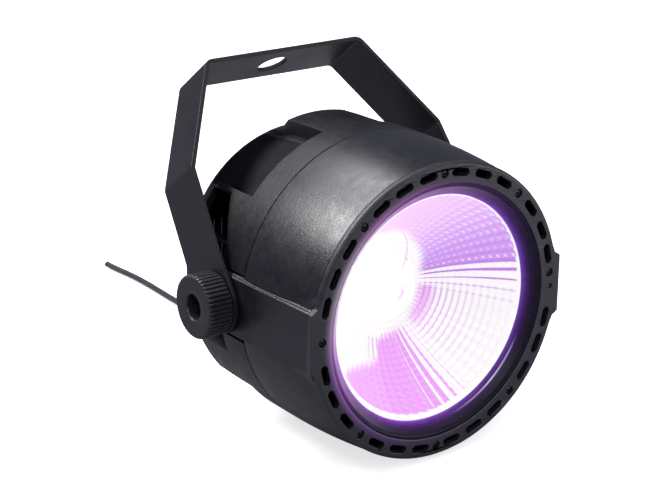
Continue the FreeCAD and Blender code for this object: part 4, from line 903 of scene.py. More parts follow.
def pad_quarter(y, barrel, side_floor=None):
    """Angles above the side and radii, from a pad's middle to the top; and the pad's count."""
    face = at(y, PAD_FACE)
    points = [(face, z) for z in np.linspace(0, PAD_TOP - PAD_EDGE, 7)]
    points.append((face - PAD_SLOPE * PAD_EDGE, PAD_TOP + PAD_EDGE))
    wall_end = (face - PAD_SLOPE * (PAD_FOOT - PAD_TOP), PAD_FOOT)
    if side_floor is not None:
        blend_end = (side_floor, PAD_FOOT)
    elif math.hypot(*wall_end) > barrel + 0.02:
        far = PAD_FOOT + 1.5 + 3.2 * (math.hypot(*wall_end) - barrel)
        blend_end = (math.sqrt(barrel**2 - far**2), far)
    else:
        wall_end = blend_end = wall_meets_barrel(face, barrel)
    top = points[-1]
    foot = (wall_end[0] + PAD_SLOPE * PAD_EDGE, wall_end[1] - PAD_EDGE)
    depth = PAD_GROOVE if foot[1] > top[1] + 0.2 else 0.0
    for share, dip in GROOVE_STOPS:
        x = top[0] * (1 - share) + foot[0] * share - dip * depth
        points.append((x, top[1] * (1 - share) + foot[1] * share))
    points.append(foot)
    points.append((wall_end[0] - 0.02, wall_end[1] + 0.02))
    points.append((blend_end[0] - 0.04, blend_end[1] + 0.05))
    angles = [math.atan2(z, x) for x, z in points]
    radii = [math.hypot(x, z) for x, z in points]
    for k in range(1, len(angles)):
        angles[k] = max(angles[k], angles[k - 1] + 1e-5)
    rest = list(np.linspace(angles[-1] + 0.004, math.pi / 2, 72))
    return angles + rest, radii + [barrel] * len(rest), len(points)


def full_ring(y, barrel, side_floor=None):
    """Turns from the top towards +X all the way round, radii, and which columns are pad."""
    angles, radii, pad_count = pad_quarter(y, barrel, side_floor)
    count = len(angles)
    right, left = math.pi / 2, 3 * (math.pi / 2)
    quarters = (
        (right, -1, range(count - 1, -1, -1)), (right, 1, range(1, count)),
        (left, -1, range(count - 2, -1, -1)), (left, 1, range(1, count - 1)))
    ring = [
        (centre + sign * angles[i], radii[i], i < pad_count)
        for centre, sign, order in quarters for i in order]
    return zip(*ring)


def build_front_housing():
    rows = []

    def add_row(y, barrel, pad_inset, inner_radius, side_floor=None):
        turns, radii, on_pad = full_ring(y, barrel, side_floor)
        radii = [r - pad_inset if pad else r for r, pad in zip(radii, on_pad)]
        rows.append((turns, [y] * len(turns), radii, [inner_radius(r) for r in radii]))
        return np.array(on_pad)

    for y in BARREL_STATIONS:
        front_inset = 0.25 if y < 3.1 else 0.0
        back_inset = 0.6 if y >= 48.7 else 0.0
        add_row(y, barrel_radius(y) - front_inset - back_inset, front_inset, lambda r: r - 2.4)
    for y in TONGUE_STATIONS:
        pad_inset = 0.35 if y > 81.9 else 0.0
        on_pad = add_row(y, TONGUE_R, pad_inset, lambda r: min(r - 1.2, 62.2), TONGUE_R)
    turns, ys, outer, inner = np.array(rows, float).swapaxes(0, 1)
    outer = limit_sides(turns, outer)
    # behind the barrel only the pads run on, as two tongues
    keep = np.ones((len(turns) - 1, turns.shape[1]), bool)
    keep[len(BARREL_STATIONS) - 1:] = on_pad & np.roll(on_pad, -1)
    verts, faces, face_slots = shell(turns, ys, outer, inner, keep)
    piece = mesh_piece(
        "front_barrel", verts, faces, "front_housing", smooth_below=26,
        materials=[MATERIALS[SLOT["front_housing"]], INSIDE_SHADE], face_slots=face_slots)
    add_bevel(piece, width=0.22, segments=2, angle=24)
    add_weighted_normals(piece)


# ------------------------------------------------------------------ rear housing

# (y, radius) of the raised lobes, the pocket floors and the inner skin
LOBE = [
    (48.9, 67.2), (49.3, 67.6), (62, 67.5), (80, 67.1), (90.2, 66.6), (91.2, 65.9),
    (97.5, 60.3), (99, 59.3), (105, 57.75), (108.4, 56.7), (109, 56.3),
]
FLOOR = [
    (48.9, 67.6), (63.9, 67.2), (64.0, 61.5), (90, 59.0), (98, 57.6), (106, 57.4), (109, 56.3),
]
INNER = [(48.9, 65.2), (61, 64.3), (65.5, 58.9), (98, 55.6), (105, 54.2), (109, 54.2)]

# angles in degrees from the top, the same on both sides
EDGE = 0.28  # half width of an edge
UPPER_LIP, UPPER_FLOOR = 13.2, 16.4  # upper pocket: leaning wall between lip and floor
LOWER_FLOOR, LOWER_LIP = 163.6, 166.8  # lower pocket, likewise
WINDOWS = [(51.5, 68.9), (70.1, 77.05), (102.9, 111.9)]
PAD_NOTCH = (77.05, 102.9)
OPENING_FRONT = [(51.5, 78.0), (68.9, 66.0)]  # (angle, y) of the windows' front edge
# (start, end, count) of evenly spaced columns, ends left out
REAR_SPANS = [
    (0, UPPER_LIP - EDGE, 12), (17.6, 49.6, 28), (52.2, 68.9, 16), (70.8, 77.0, 6),
    (78, 102.9, 14), (103.6, 111.9, 8), (112.8, 130 - EDGE, 14), (131, 162.6, 24),
    (167.9, 180, 10),
]
REAR_COLUMNS = [49.7, 50.15, 50.45, 51.5, 68.9, 70.1, 77.05, 102.9, 111.9, 129.95, 130.25]
for wall_angle in (UPPER_LIP, UPPER_FLOOR, LOWER_FLOOR, LOWER_LIP):
    REAR_COLUMNS += [wall_angle - EDGE, wall_angle + EDGE]
# y of the rows before and behind the ones that follow the windows' front edge
REAR_FIRST = [48.9, 49.3] + list(np.linspace(51.5, 63.0, 6)) + [63.85, 64.15, 64.75]
REAR_LAST = [90.2, 91.2, 92.8, 94.4, 96.0, 97.5, 99.0, 102.5, 105, 107, 108.4, 109.0]


def folded(angle):
    return angle if angle <= 180 else 360 - angle


def floor_share(angle):
    """How much of the pocket floor shows at this angle."""
    if UPPER_LIP < angle < 50.1:
        if angle <= UPPER_LIP + EDGE:
            return 0.06
        return 0.94 if angle < UPPER_FLOOR else 1.0
    if 130.1 < angle < LOWER_LIP:
        if angle > LOWER_LIP - EDGE - 0.01:
            return 0.06
        return 0.94 if angle > LOWER_FLOOR else 1.0
    return 0.0


def rear_stations(edge):
    start, end = REAR_FIRST[-1], REAR_LAST[0]
    before = [start + (edge - start) * (k / 6) for k in range(1, 7)]
    behind = [edge + (end - edge) * (k / 9) for k in range(1, 9)]
    return REAR_FIRST + before + behind + REAR_LAST


def rear_point(angle, y):
    """(turn, y, outer radius, inner radius)."""
    share = floor_share(folded(angle))
    if y < 63.9:
        share = 0.0
    elif y < 64.5:
        share *= 0.92
    lobe = at(y, LOBE)
    outer = lobe * (1 - share) + min(at(y, FLOOR), lobe) * share
    return math.radians(angle), y, outer, min(at(y, INNER), outer - 1.0)


def rear_cell_open(angle, y):
    if PAD_NOTCH[0] < angle < PAD_NOTCH[1] and y < 83.2:
        return True
    in_window = any(start < angle < end for start, end in WINDOWS)
    return in_window and at(angle, OPENING_FRONT) < y + 0.01 and y < 102.5


def build_rear_housing():
    half = list(REAR_COLUMNS)
    for start, end, count in REAR_SPANS:
        half += list(np.linspace(start, end, count, endpoint=False))
    half = sorted(set(round(float(a), 5) for a in half))
    angles = half + [180.0] + [360 - a for a in reversed(half) if a > 0]
    columns = [
        [rear_point(angle, y) for y in rear_stations(at(folded(angle), OPENING_FRONT))]
        for angle in angles]
    turns, ys, outer, inner = np.array(columns).transpose(2, 1, 0)
    keep = np.ones((len(turns) - 1, len(angles)), bool)
    for j, (angle, following) in enumerate(zip(angles, angles[1:] + [360])):
        middle = folded((angle + following) / 2)
        for i in range(len(turns) - 1):
            keep[i, j] = not rear_cell_open(middle, (ys[i, j] + ys[i + 1, j]) / 2)
    outer = limit_sides(turns, outer)
    verts, faces, face_slots = shell(turns, ys, outer, inner, keep)
    piece = mesh_piece(
        "rear_drum", verts, faces, "rear_housing", smooth_below=24,
        materials=[DRUM_SHADED, INSIDE_SHADE, POCKET_SHADE], face_slots=face_slots)
    # the pocket floors take the painted-shade material
    for face in piece.data.polygons:
        x, y, z = face.center
        angle = math.degrees(math.atan2(abs(x), z - AXIS_UP * MM))
        in_pocket = UPPER_FLOOR < angle < 50.0 or 130.2 < angle < LOWER_FLOOR
        if face.material_index == 0 and in_pocket and 64.4 < y * 1000 + FRONT < 108:
            face.material_index = 2
    add_bevel(piece, width=0.3, segments=2, angle=26)
    add_weighted_normals(piece)


# ------------------------------------------------------------------ bezel

BEZEL_R, BORE_R = 65.0, 56.2
BEZEL_DEPTH, BEZEL_ROUND = 1.5, 0.32
TAB_X, TAB_FOOT_Z = 66.2, 14.6  # the side tabs that meet the pads
PITCH_R = 60.65  # circle of slots and screws
SLOT_TURNS = [8.0, 20.0, 32.1, 52.1, 64.6, 76.1]  # degrees, in one quarter
SLOT_HALF_LENGTH, SLOT_HALF_WIDTH, SLOT_CHAMFER = 4.55, 1.65, 1.15
SCREW_HOLE_R = 1.86
SCREW_TURNS = [0, 42, 84.6, 138, 180, 222, 270, 318]
SCREW_PLACES = [
    (PITCH_R * math.sin(math.radians(t)), PITCH_R * math.cos(math.radians(t)))
    for t in SCREW_TURNS]
DIMPLE_PLACE, DIMPLE_R = (61.0, -0.5), 1.15
# (radius, y) of the stepped floors under the openings
SCREW_SEAT = [(1.31, 1.85), (1.95, 1.8), (2.3, 2.0), (2.3, 2.95), (1.31, 2.95)]
DIMPLE_SEAT = [(0.03, 1.05), (1.3, 1.0), (1.5, 1.2), (1.5, 2.9), (0.03, 2.9)]


def circle(centre, radius, count):
    turns = [2 * math.pi * k / count for k in range(count)]
    return [
        (centre[0] + radius * math.cos(t), centre[1] + radius * math.sin(t)) for t in turns]


def bezel_outline():
    """The ring's outer edge with a tab at each side."""
    foot = (math.sqrt(BEZEL_R**2 - TAB_FOOT_Z**2), TAB_FOOT_Z)
    tab = [(TAB_X, PAD_TOP), (TAB_X - 1.5, PAD_TOP + 1.1), foot]
    tab = [(x, -z) for x, z in reversed(tab)] + tab
    tab_angle = math.degrees(math.asin(TAB_FOOT_Z / BEZEL_R))
    outline = []
    for sign, base in ((1, 0), (-1, 180)):
        corners = [(sign * x, sign * z) for x, z in tab]
        outline += rounded(corners, radii=[0, 0.4, 0.4, 0.4, 0.4, 0], steps=4)
        for k in range(1, 160):
            a = math.radians(base + tab_angle + (180 - 2 * tab_angle) * k / 160)
            outline.append((BEZEL_R * math.cos(a), BEZEL_R * math.sin(a)))
    return outline


def slot_outlines():
    long, wide, cut = SLOT_HALF_LENGTH, SLOT_HALF_WIDTH, SLOT_CHAMFER
    shape = rounded([
        (-long + cut, -wide), (long - cut, -wide), (long, -wide + cut), (long, wide - cut),
        (long - cut, wide), (-long + cut, wide), (-long, wide - cut), (-long, -wide + cut),
    ], radii=[0.5] * 8, steps=2)
    for quarter_turn in SLOT_TURNS:
        for turn in (quarter_turn, 180 - quarter_turn, 180 + quarter_turn, 360 - quarter_turn):
            sin, cos = math.sin(math.radians(turn)), math.cos(math.radians(turn))
            points = []
            for u, w in shape:
                # bend the slot gently with the ring
                radius = PITCH_R + w - (u * u) / (2 * PITCH_R) * 0.8
                points.append((radius * sin + u * cos, radius * cos - u * sin))
            yield points


def bezel_plate():
    """A filled and rounded flat curve with all its holes, as a mesh."""
    curve = bpy.data.curves.new("bezel_outline", "CURVE")
    curve.dimensions = "2D"
    curve.fill_mode = "BOTH"
    curve.extrude = MM * (BEZEL_DEPTH - BEZEL_ROUND)
    curve.bevel_depth = MM * BEZEL_ROUND
    curve.bevel_resolution = 3
    curve.offset = -MM * BEZEL_ROUND
    outlines = [bezel_outline(), circle((0, 0), BORE_R, 240), *slot_outlines()]
    outlines += [circle(place, SCREW_HOLE_R, 28) for place in SCREW_PLACES]
    outlines.append(circle(DIMPLE_PLACE, DIMPLE_R, 20))
    for outline in outlines:
        spline = curve.splines.new("POLY")
        spline.points.add(len(outline) - 1)
        for point, (x, z) in zip(spline.points, outline):
            point.co = (x * MM, z * MM, 0, 1)
        spline.use_cyclic_u = True
    carrier = link_object("tmp_bezel", curve)
    depsgraph = bpy.context.evaluated_depsgraph_get()
    mesh = bpy.data.meshes.new_from_object(carrier.evaluated_get(depsgraph))
    bpy.data.objects.remove(carrier)
    return mesh


def build_bezel():
    plate = bezel_plate()
    verts = []
    for v in plate.vertices:
        x, z, y = v.co.x * 1000, v.co.y * 1000, BEZEL_DEPTH - v.co.z * 1000
        radius = math.hypot(x, z)
        past_tab = abs(z) - TAB_FOOT_Z - 0.4
        if radius > BEZEL_R - BEZEL_ROUND - 0.02 and y < BEZEL_DEPTH and past_tab > 0:
            # a broader round on the front outer edge, easing out next to the tabs
            widen = 1 + 3.2 * min(1.0, past_tab / 3.0)
            shrink = (BEZEL_R - (BEZEL_R - radius) * widen) / radius
            x, z, y = x * shrink, z * shrink, min(y * widen, 1.45 + y * 0.1)
        verts.append((x, y, z))
    faces = [list(p.vertices) for p in plate.polygons]
    seats = [(place, SCREW_SEAT) for place in SCREW_PLACES] + [(DIMPLE_PLACE, DIMPLE_SEAT)]
    columns = 28
    for (seat_x, seat_z), profile in seats:
        base = len(verts)
        for j in range(columns):
            a = 2 * math.pi * j / columns
            for r, y in profile:
                verts.append((seat_x + r * math.cos(a), y, seat_z + r * math.sin(a)))
        for face in wrapped_faces(columns, len(profile)):
            faces.append([base + index for index in face])
    piece = mesh_piece("bezel_ring", verts, faces, "front_bezel", smooth_below=35)
    add_weighted_normals(piece)


# (radius, y) of a screw from its tip forward to its head
SCREW_PROFILE = [
    (0.02, 13.2), (0.9, 13.1), (1.22, 12.5), (1.22, 1.95), (1.5, 1.78), (1.64, 1.55),
    (1.66, 1.25), (1.6, 0.98), (1.42, 0.78), (1.15, 0.66),
]
CROSS_HALF_WIDTH, CROSS_REACH = 0.24, 0.86


def bezel_screw():
    """Vertices and faces of one pan head screw with a cross recess, about its own axis."""
    bm = bmesh.new()
    count = 24

    def ring(radius, y):
        angles = [2 * math.pi * j / count for j in range(count)]
        return [bm.verts.new((radius * math.cos(a), y, radius * math.sin(a))) for a in angles]

    rows = [ring(radius, y) for radius, y in SCREW_PROFILE]
    for low_row, high_row in zip(rows, rows[1:]):
        for j in range(count):
            k = (j + 1) % count
            bm.faces.new((low_row[j], low_row[k], high_row[k], high_row[j]))
    bm.faces.new(rows[0])
    w, l = CROSS_HALF_WIDTH, CROSS_REACH
    cross = [
        (w, w), (w, l), (-w, l), (-w, w), (-l, w), (-l, -w),
        (-w, -w), (-w, -l), (w, -l), (w, -w), (l, -w), (l, w),
    ]
    top = [bm.verts.new((x, 0.64, z)) for x, z in cross]
    bottom = [bm.verts.new((x * 0.72, 1.3, z * 0.72)) for x, z in cross]
    edges = [bm.edges.new((top[i], top[(i + 1) % 12])) for i in range(12)]
    edges += [bm.edges.get((rows[-1][j], rows[-1][(j + 1) % count])) for j in range(count)]
    bmesh.ops.triangle_fill(bm, use_beauty=True, edges=edges)
    # the fill spans the recess too: drop whatever lies inside the cross
    inside = [f for f in bm.faces if all(v in top for v in f.verts)]
    bmesh.ops.delete(bm, geom=inside, context="FACES_ONLY")
    for i in range(12):
        k = (i + 1) % 12
        bm.faces.new((top[i], top[k], bottom[k], bottom[i]))
    bm.faces.new(bottom)
    bm.verts.index_update()
    verts = [tuple(v.co) for v in bm.verts]
    faces = [[v.index for v in f.verts] for f in bm.faces]
    bm.free()
    return verts, faces


def build_bezel_screws():
    screw_verts, screw_faces = bezel_screw()
    verts, faces = [], []
    for index, (screw_x, screw_z) in enumerate(SCREW_PLACES):
        base = len(verts)
        cos, sin = math.cos(0.7 * index), math.sin(0.7 * index)
        for x, y, z in screw_verts:
            verts.append((screw_x + x * cos - z * sin, y, screw_z + x * sin + z * cos))
        faces += [[base + k for k in face] for face in screw_faces]
    mesh_piece("bezel_screw_heads", verts, faces, "bezel_screws", smooth_below=35)


# ------------------------------------------------------------------ collar, reflector, lens

# (radius, y, corner radius)
COLLAR_PROFILE = [
    (56.15, 0.75, 0.3), (55.2, 0.85, 0.8), (54.1, 1.5, 1.4), (53.3, 2.5, 3), (52.5, 3.3, 3),
    (51.6, 4.3, 3), (50.6, 5.2, 1.5), (49.85, 5.75, 0.3), (49.85, 7.8, 0.2), (51.6, 7.9, 0.3),
    (53.6, 6.4, 1), (55.4, 4.8, 0.3), (57.2, 4.6, 0.2), (57.2, 3.15, 0.2), (56.15, 3.1, 0.2),
]


def build_collar():
    points = [(r, y) for r, y, _ in COLLAR_PROFILE]
    profile = rounded(points, radii=[row[2] for row in COLLAR_PROFILE], steps=4)
    verts, faces = lathe(profile, 360)
    mesh_piece("collar_ring", verts, faces, "trim_collar", smooth_below=50)


FLUTES, STEPS = 60, 16  # facets round the bowl and down it
FACET_CUTS = 4
RIM_R, RIM_Y, BASE_R, BASE_Y = 49.3, 6.2, 15.4, 36.9


def bowl_y(radius):
    share = (RIM_R**2 - radius * radius) / (RIM_R**2 - BASE_R**2)
    return RIM_Y + share * (BASE_Y - RIM_Y)


def bowl_radius(y):
    return math.sqrt(RIM_R**2 - (RIM_R**2 - BASE_R**2) * (y - RIM_Y) / (BASE_Y - RIM_Y))


def facet_random(flute, step):
    value = math.sin(flute * 12.9898 + step * 78.233) * 43758.5453
    return value - math.floor(value)


def build_reflector():
    cuts = FACET_CUTS
    columns, rows = FLUTES * cuts, STEPS * cuts
    half_flute = 0.5 / FLUTES
    radii = np.linspace(RIM_R, BASE_R, STEPS + 1)
    ys = [bowl_y(r) for r in radii]
    verts, faces = [], []

    def add_vertex(column, radius, y):
        turn = 2 * math.pi * (column / columns + half_flute)
        verts.append((radius * math.sin(turn), y, radius * math.cos(turn)))

    for i in range(rows + 1):
        step = min(i // cuts, STEPS - 1)
        share = i / cuts - step
        radius = radii[step] * (1 - share) + radii[step + 1] * share
        y = ys[step] * (1 - share) + ys[step + 1] * share
        fv = 2 * share - 1
        for j in range(columns):
            # each facet's skin swells towards the axis
            fu = 2 * ((j % cuts) / cuts) - 1
            bulge = (1 - fu * fu) * 0.32 * (radius / RIM_R) + (1 - fv * fv) * 0.16
            add_vertex(j, radius - bulge * 0.8, y - bulge * 0.6)

    corner_values = {key: [] for key in ("turn", "rad", "fu", "fv", "rnd")}

    def add_face(face, turn, rad, fu, fv, rnd):
        faces.append(face)
        for values, corners in zip(corner_values.values(), (turn, rad, fu, fv, rnd)):
            values.extend(corners)

    for i in range(rows):
        for j in range(columns):
            k = (j + 1) % columns
            here, below = i * columns, (i + 1) * columns
            u0, v0 = 2 * (j % cuts) / cuts - 1, 2 * (i % cuts) / cuts - 1
            u1, v1 = u0 + 2 / cuts, v0 + 2 / cuts
            t0, t1 = j / columns + half_flute, (j + 1) / columns + half_flute
            if t0 > 0.99999:
                t0, t1 = t0 - 1, t1 - 1
            r0, r1 = 1 - i / rows, 1 - (i + 1) / rows
            add_face(
                [here + j, here + k, below + k, below + j],
                turn=(t0, t1, t1, t0), rad=(r0, r0, r1, r1), fu=(u0, u1, u1, u0),
                fv=(v0, v0, v1, v1), rnd=(facet_random(j // cuts, i // cuts),) * 4)

    # the lip, the flange and the back of the shell, from the rim round to the base
    back = [
        (RIM_R + 0.2, RIM_Y - 0.12), (RIM_R + 0.4, RIM_Y + 0.1), (RIM_R + 0.42, 8.0),
        (54.5, 8.0), (54.5, 9.0), (RIM_R + 1.5, 9.1),
    ]
    for k in range(1, 17):
        y = RIM_Y + (BASE_Y - RIM_Y) * k / 16
        back.append((bowl_radius(y) + 1.3, max(y, 9.2)))
    rings = [range(columns)]
    for radius, y in back:
        rings.append(range(len(verts), len(verts) + columns))
        for j in range(columns):
            add_vertex(j, radius, y)
    rings.append(range(rows * columns, (rows + 1) * columns))
    face_slots = [0] * len(faces)
    for i, (ring, following) in enumerate(zip(rings, rings[1:])):
        for j in range(columns):
            k = (j + 1) % columns
            face_slots.append(1 if i > 2 else 0)
            add_face(
                [ring[k], ring[j], following[j], following[k]],
                turn=[0.7] * 4, rad=[1.0] * 4, fu=[0] * 4, fv=[0] * 4, rnd=[1.0] * 4)
    mesh_piece(
        "reflector_bowl", verts, faces, "reflector", smooth_below=12,
        materials=[MATERIALS[SLOT["reflector"]], BACKING], face_slots=face_slots,
        corner_values=corner_values)


def build_lens():
    face_r, face_y, back_y = 14.4, 31.2, 37.2
    profile = [(0.0, face_y)]
    for k in range(1, 15):
        radius = face_r * k / 14
        profile.append((radius, face_y + 4.7 * (radius / face_r) ** 2.0))
    profile += [(LENS_R, 36.0), (LENS_R, back_y), (0.0, back_y)]
    verts, faces = lathe(profile, 128)
    piece = mesh_piece("collecting_lens", verts, faces, "led_lens", smooth_below=40)
    # join the points that meet on the axis
    with editing(piece.data) as bm:
        bmesh.ops.remove_doubles(bm, verts=bm.verts, dist=1e-6)
        bmesh.ops.dissolve_degenerate(bm, dist=1e-7, edges=bm.edges)
        bmesh.ops.recalc_face_normals(bm, faces=bm.faces)


# ------------------------------------------------------------------ knobs

KNOB_R, KNOB_BACK, KNOB_FACE = 13.9, 70.4, 81.9  # radius; distances out from the beam axis
KNOB_RIBS, COLUMNS_PER_RIB = 44, 12
# (radius, distance out)
KNOB_PROFILE = [
    (4.0, 71.12), (9.3, 71.12), (9.3, KNOB_BACK + 0.2), (9.5, KNOB_BACK),
    (KNOB_R - 0.9, KNOB_BACK), (KNOB_R - 0.3, KNOB_BACK + 0.25), (KNOB_R, KNOB_BACK + 0.9),
    *((KNOB_R, KNOB_BACK + 0.9 + (KNOB_FACE - KNOB_BACK - 2.2) * k / 8) for k in range(1, 9)),
    (KNOB_R - 0.12, KNOB_FACE - 0.85), (KNOB_R - 0.45, KNOB_FACE - 0.35),
    (KNOB_R - 1.0, KNOB_FACE - 0.06), (KNOB_R - 1.5, KNOB_FACE), (12.0, KNOB_FACE),
    (9.0, KNOB_FACE - 0.04), (6.5, KNOB_FACE - 0.06), (5.95, KNOB_FACE - 0.16),
    (5.6, KNOB_FACE - 0.6), (5.5, KNOB_FACE - 1.2), (5.5, 76.0), (5.5, 73.62), (4.0, 73.62),
]


def build_knob(side, sign):
    columns = KNOB_RIBS * COLUMNS_PER_RIB
    verts = []
    for j in range(columns):
        turn = 2 * math.pi * j / columns
        # rounded ribs with narrow grooves between
        phase = (j % COLUMNS_PER_RIB) / COLUMNS_PER_RIB
        wave = 0.5 - 0.5 * math.cos(2 * math.pi * phase)
        groove = (1 - min(1.0, wave * 1.9)) ** 1.4
        for r, out in KNOB_PROFILE:
            if r > KNOB_R - 1.05:
                r = min(r, KNOB_R - 0.85 * groove)
            verts.append((sign * out, PIVOT + r * math.sin(turn), r * math.cos(turn)))
    faces = wrapped_faces(columns, len(KNOB_PROFILE))
    mesh_piece("clamp_knob_" + side, verts, faces, "knob_" + side, smooth_below=38)


# ------------------------------------------------------------------ cable

CABLE_FLOOR_Z = 1.8 - AXIS_UP  # height of the lead's centre where it lies on the floor
# (x, y, z) from inside the rear of the head down to the floor and away
CABLE_PATH = [
    (7.0, 98, -40.0), (7.0, 110, -40.0), (7.0, 122, -40.3), (7.1, 137, -49.0),
    (7.1, 152, CABLE_FLOOR_Z + 5.2), (7.0, 168, CABLE_FLOOR_Z + 0.25),
    (7.0, 190, CABLE_FLOOR_Z), (7.3, 222, CABLE_FLOOR_Z), (8.3, 250, CABLE_FLOOR_Z),
    (8.0, 268, CABLE_FLOOR_Z), (6.4, 290, CABLE_FLOOR_Z),
]


def clamped_cubic(path, end_tangent, steps=14):
    """Points and tangents of a smooth cubic through the path, by chord length."""
    path = np.array(path, float)
    chord = np.linalg.norm(np.diff(path, axis=0), axis=1)
    count = len(path)
    system, target = np.zeros((count, count)), np.zeros((count, 3))
    system[0, 0] = system[-1, -1] = 1
    target[0] = target[-1] = end_tangent
    for i in range(1, count - 1):
        before, after = chord[i - 1], chord[i]
        system[i, i - 1:i + 2] = 1 / before, 2 / before + 2 / after, 1 / after
        target[i] = 3 * (
            (path[i] - path[i - 1]) / before**2 + (path[i + 1] - path[i]) / after**2)
    slope = np.linalg.solve(system, target)
    points, tangents = [], []
    for i in range(count - 1):
        p, q, dp, dq, h = path[i], path[i + 1], slope[i], slope[i + 1], chord[i]
        for step in range(steps):
            u = step / steps
            points.append(
                (2 * u**3 - 3 * u**2 + 1) * p + (u**3 - 2 * u**2 + u) * h * dp
                + (-2 * u**3 + 3 * u**2) * q + (u**3 - u**2) * h * dq)
            tangents.append(
                (6 * u**2 - 6 * u) * p / h + (3 * u**2 - 4 * u + 1) * dp
                + (-6 * u**2 + 6 * u) * q / h + (3 * u**2 - 2 * u) * dq)
    return points + [path[-1]], tangents + [np.array(end_tangent, float)]


def build_cable():
    points, tangents = clamped_cubic(CABLE_PATH, end_tangent=(0, 1, 0))
    angles = [2 * math.pi * k / 28 for k in range(28)]
    # a faint waist in the round jacket, over a plain bore
    jacket = [1.5 - 0.035 * (math.cos(2 * a) * -0.5 + 0.5) for a in angles]
    verts, faces, skins = [], [], []
    for radii in (jacket, [1.2] * 28):
        rings = []
        for point, tangent in zip(points, tangents):
            tangent = tangent / np.linalg.norm(tangent)
            side = np.cross((0, 0, 1.0), tangent)
            side /= np.linalg.norm(side)
            up = np.cross(tangent, side)
            rings.append(range(len(verts), len(verts) + 28))
            for a, r in zip(angles, radii):
                verts.append(tuple(point + side * r * math.cos(a) + up * r * math.sin(a)))
        skins.append(rings)
    for rings, direction in zip(skins, (1, -1)):
        for near, far in zip(rings, rings[1:]):
            for j in range(28):
                k = (j + 1) % 28
                faces.append([near[j], near[k], far[k], far[j]][::direction])
    for end in (0, -1):
        outer, inner = skins[0][end], skins[1][end]
        for j in range(28):
            k = (j + 1) % 28
            faces.append([outer[j], outer[k], inner[k], inner[j]])
    mesh_piece("supply_lead", verts, faces, "power_cable", smooth_below=50)


# ------------------------------------------------------------------ display numerals

NUMERAL_Z = 29
NUMERALS = [(3.5, "abcdef"), (-3.5, "abcdef"), (-10.5, "bc")]  # (x, lit segments)


def build_numerals():
    """Lit seven-segment numerals, reading 0 0 1 from behind."""
    w, h, t = 1.75, 3.3, 0.42  # half width, half height, half thickness of a bar
    bars = {  # (left, right, bottom, top)
        "a": (-w + t, w - t, h - t, h + t), "d": (-w + t, w - t, -h - t, -h + t),
        "f": (-w - t, -w + t, t, h - t), "b": (w - t, w + t, t, h - t),
        "e": (-w - t, -w + t, -h + t, -t), "c": (w - t, w + t, -h + t, -t),
    }
    box = [(0, 1, 2, 3), (7, 6, 5, 4), (0, 4, 5, 1), (1, 5, 6, 2), (2, 6, 7, 3), (3, 7, 4, 0)]
    verts, faces = [], []
    for middle, lit in NUMERALS:
        for segment in lit:
            left, right, bottom, top = bars[segment]
            base = len(verts)
            for y in (105.4, 105.75):
                for u, z in ((left, bottom), (right, bottom), (right, top), (left, top)):
                    verts.append((middle - u - 0.12 * z, y, NUMERAL_Z + z))
            faces += [[base + k for k in face] for face in box]
    numerals = new_object("display_numerals", verts, faces, [numeral_material()])
    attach(numerals, BODY_OF["display_module"])


# ------------------------------------------------------------------ kept nodes


def soften(name, width=0.15, segments=2, smooth=True):
    """Round the edges of a node that keeps its own mesh."""
    piece = NODES[name]
    piece.modifiers.new("weld", "WELD").merge_threshold = 1e-6
    planar = piece.modifiers.new("planar", "DECIMATE")
    planar.decimate_type = "DISSOLVE"
    planar.angle_limit = math.radians(0.4)
    add_bevel(piece, width, segments, angle=30)
    if smooth:
        add_weighted_normals(piece, weight=100)
    polygons = piece.data.polygons
    polygons.foreach_set("use_smooth", np.full(len(polygons), smooth, bool))


build_front_housing()
build_rear_housing()
build_bezel()
build_bezel_screws()
build_collar()
build_reflector()
build_lens()
build_knob("left", -1)
build_knob("right", 1)
build_cable()
build_numerals()
soften("yoke", width=0.3, segments=3)
soften("rear_cover", smooth=False)
for kept in ("dmx_input_socket", "dmx_output_socket", "cable_gland", "heat_sink", "fan_frame"):
    soften(kept)

# ------------------------------------------------------------------ floor, light, camera


def build_floor():
    mesh = bpy.data.meshes.new("floor")
    half, z = 6.0, -0.0006
    corners = [(-half, -half, z), (half, -half, z), (half, half, z), (-half, half, z)]
    mesh.from_pydata(corners, [], [[0, 1, 2, 3]])
    floor = link_object("floor", mesh)
    mesh.materials.append(floor_material())
    floor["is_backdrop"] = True


def build_world():
    """White to the camera, dim blue-grey to everything else."""
    world = bpy.data.worlds.new("studio")
    bpy.context.scene.world = world
    world.use_nodes = True
    nodes, links = world.node_tree.nodes, world.node_tree.links
    nodes.clear()
    output = nodes.new("ShaderNodeOutputWorld")
    background = nodes.new("ShaderNodeBackground")
    light_path = nodes.new("ShaderNodeLightPath")
    mix = nodes.new("ShaderNodeMix")
    mix.data_type = "RGBA"
    mix.inputs[6].default_value = (0.15, 0.15, 0.2, 1)
    mix.inputs[7].default_value = (1, 1, 1, 1)
    background.inputs["Strength"].default_value = 1.0
    links.new(light_path.outputs["Is Camera Ray"], mix.inputs[0])
    links.new(mix.outputs[2], background.inputs["Color"])
    links.new(background.outputs[0], output.inputs[0])


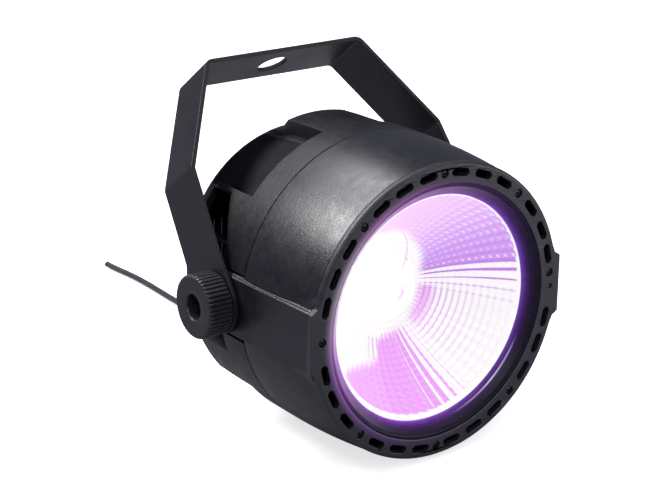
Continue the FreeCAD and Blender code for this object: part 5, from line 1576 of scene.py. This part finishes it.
def aim(thing, place, away, side):
    """Point local -Z against `away`, with local X as near `side` as it can be."""
    side = (side - away * side.dot(away)).normalized()
    pose = Matrix((side, away.cross(side), away)).transposed().to_4x4()
    pose.translation = Vector(place)
    thing.matrix_world = pose


LIGHT_TARGET = (0, -0.08, 0.075)


def area_light(name, place, size, power, color=(1, 1, 1), size_y=None, along=None):
    """A rectangle aimed at the head; `along` is the direction of its first side."""
    light = bpy.data.lights.new(name, "AREA")
    light.energy = power
    light.color = color
    light.shape = "RECTANGLE"
    light.size = size
    light.size_y = size_y or size
    lamp = link_object(name, light)
    away = (Vector(place) - Vector(LIGHT_TARGET)).normalized()
    aim(lamp, place, away, Vector(along) if along else Vector((0, 0, 1)).cross(away))
    lamp.visible_camera = False
    lamp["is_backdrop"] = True


def build_camera():
    right = Vector((0.80725, -0.59002, 0.01371)).normalized()
    view = Vector((0.5605193, 0.7592270, -0.3307453)).normalized()
    data = bpy.data.cameras.new("camera")
    data.sensor_fit = "HORIZONTAL"
    data.sensor_width = 36
    data.lens = 107.946027
    data.clip_start = 0.01
    data.clip_end = 50
    camera = link_object("camera", data)
    aim(camera, head_to_world(-498.654, -599.607, 300.055), -view, right)
    bpy.context.scene.camera = camera


build_floor()
build_world()
COOL = (0.93, 0.94, 1.0)
area_light(
    "box_back_left", (-0.55, 0.42, 0.82), size=0.42, size_y=0.24, power=9.5,
    along=(0.85, 0.1, 0.5))
area_light(
    "box_back_top", (-0.06, 0.50, 0.95), size=0.5, size_y=0.22, power=5.0,
    color=(0.95, 0.96, 1.0), along=(1.0, 0.1, 0.1))
area_light("front_soft", (-0.45, -0.95, 0.85), size=0.6, power=4.5, color=COOL)
area_light("front_low", (0.75, -0.95, 0.14), size=0.6, size_y=0.2, power=3.5, color=COOL)
area_light("top_soft", (0.35, -0.5, 1.05), size=0.7, power=2.0)
build_camera()
bpy.context.scene.view_settings.view_transform = "Standard"
bpy.context.scene.view_settings.look = "None"

lo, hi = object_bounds()
({
    "before": [[float(x) for x in v] for v in box_before],
    "after": [[float(x) for x in lo], [float(x) for x in hi]],
})
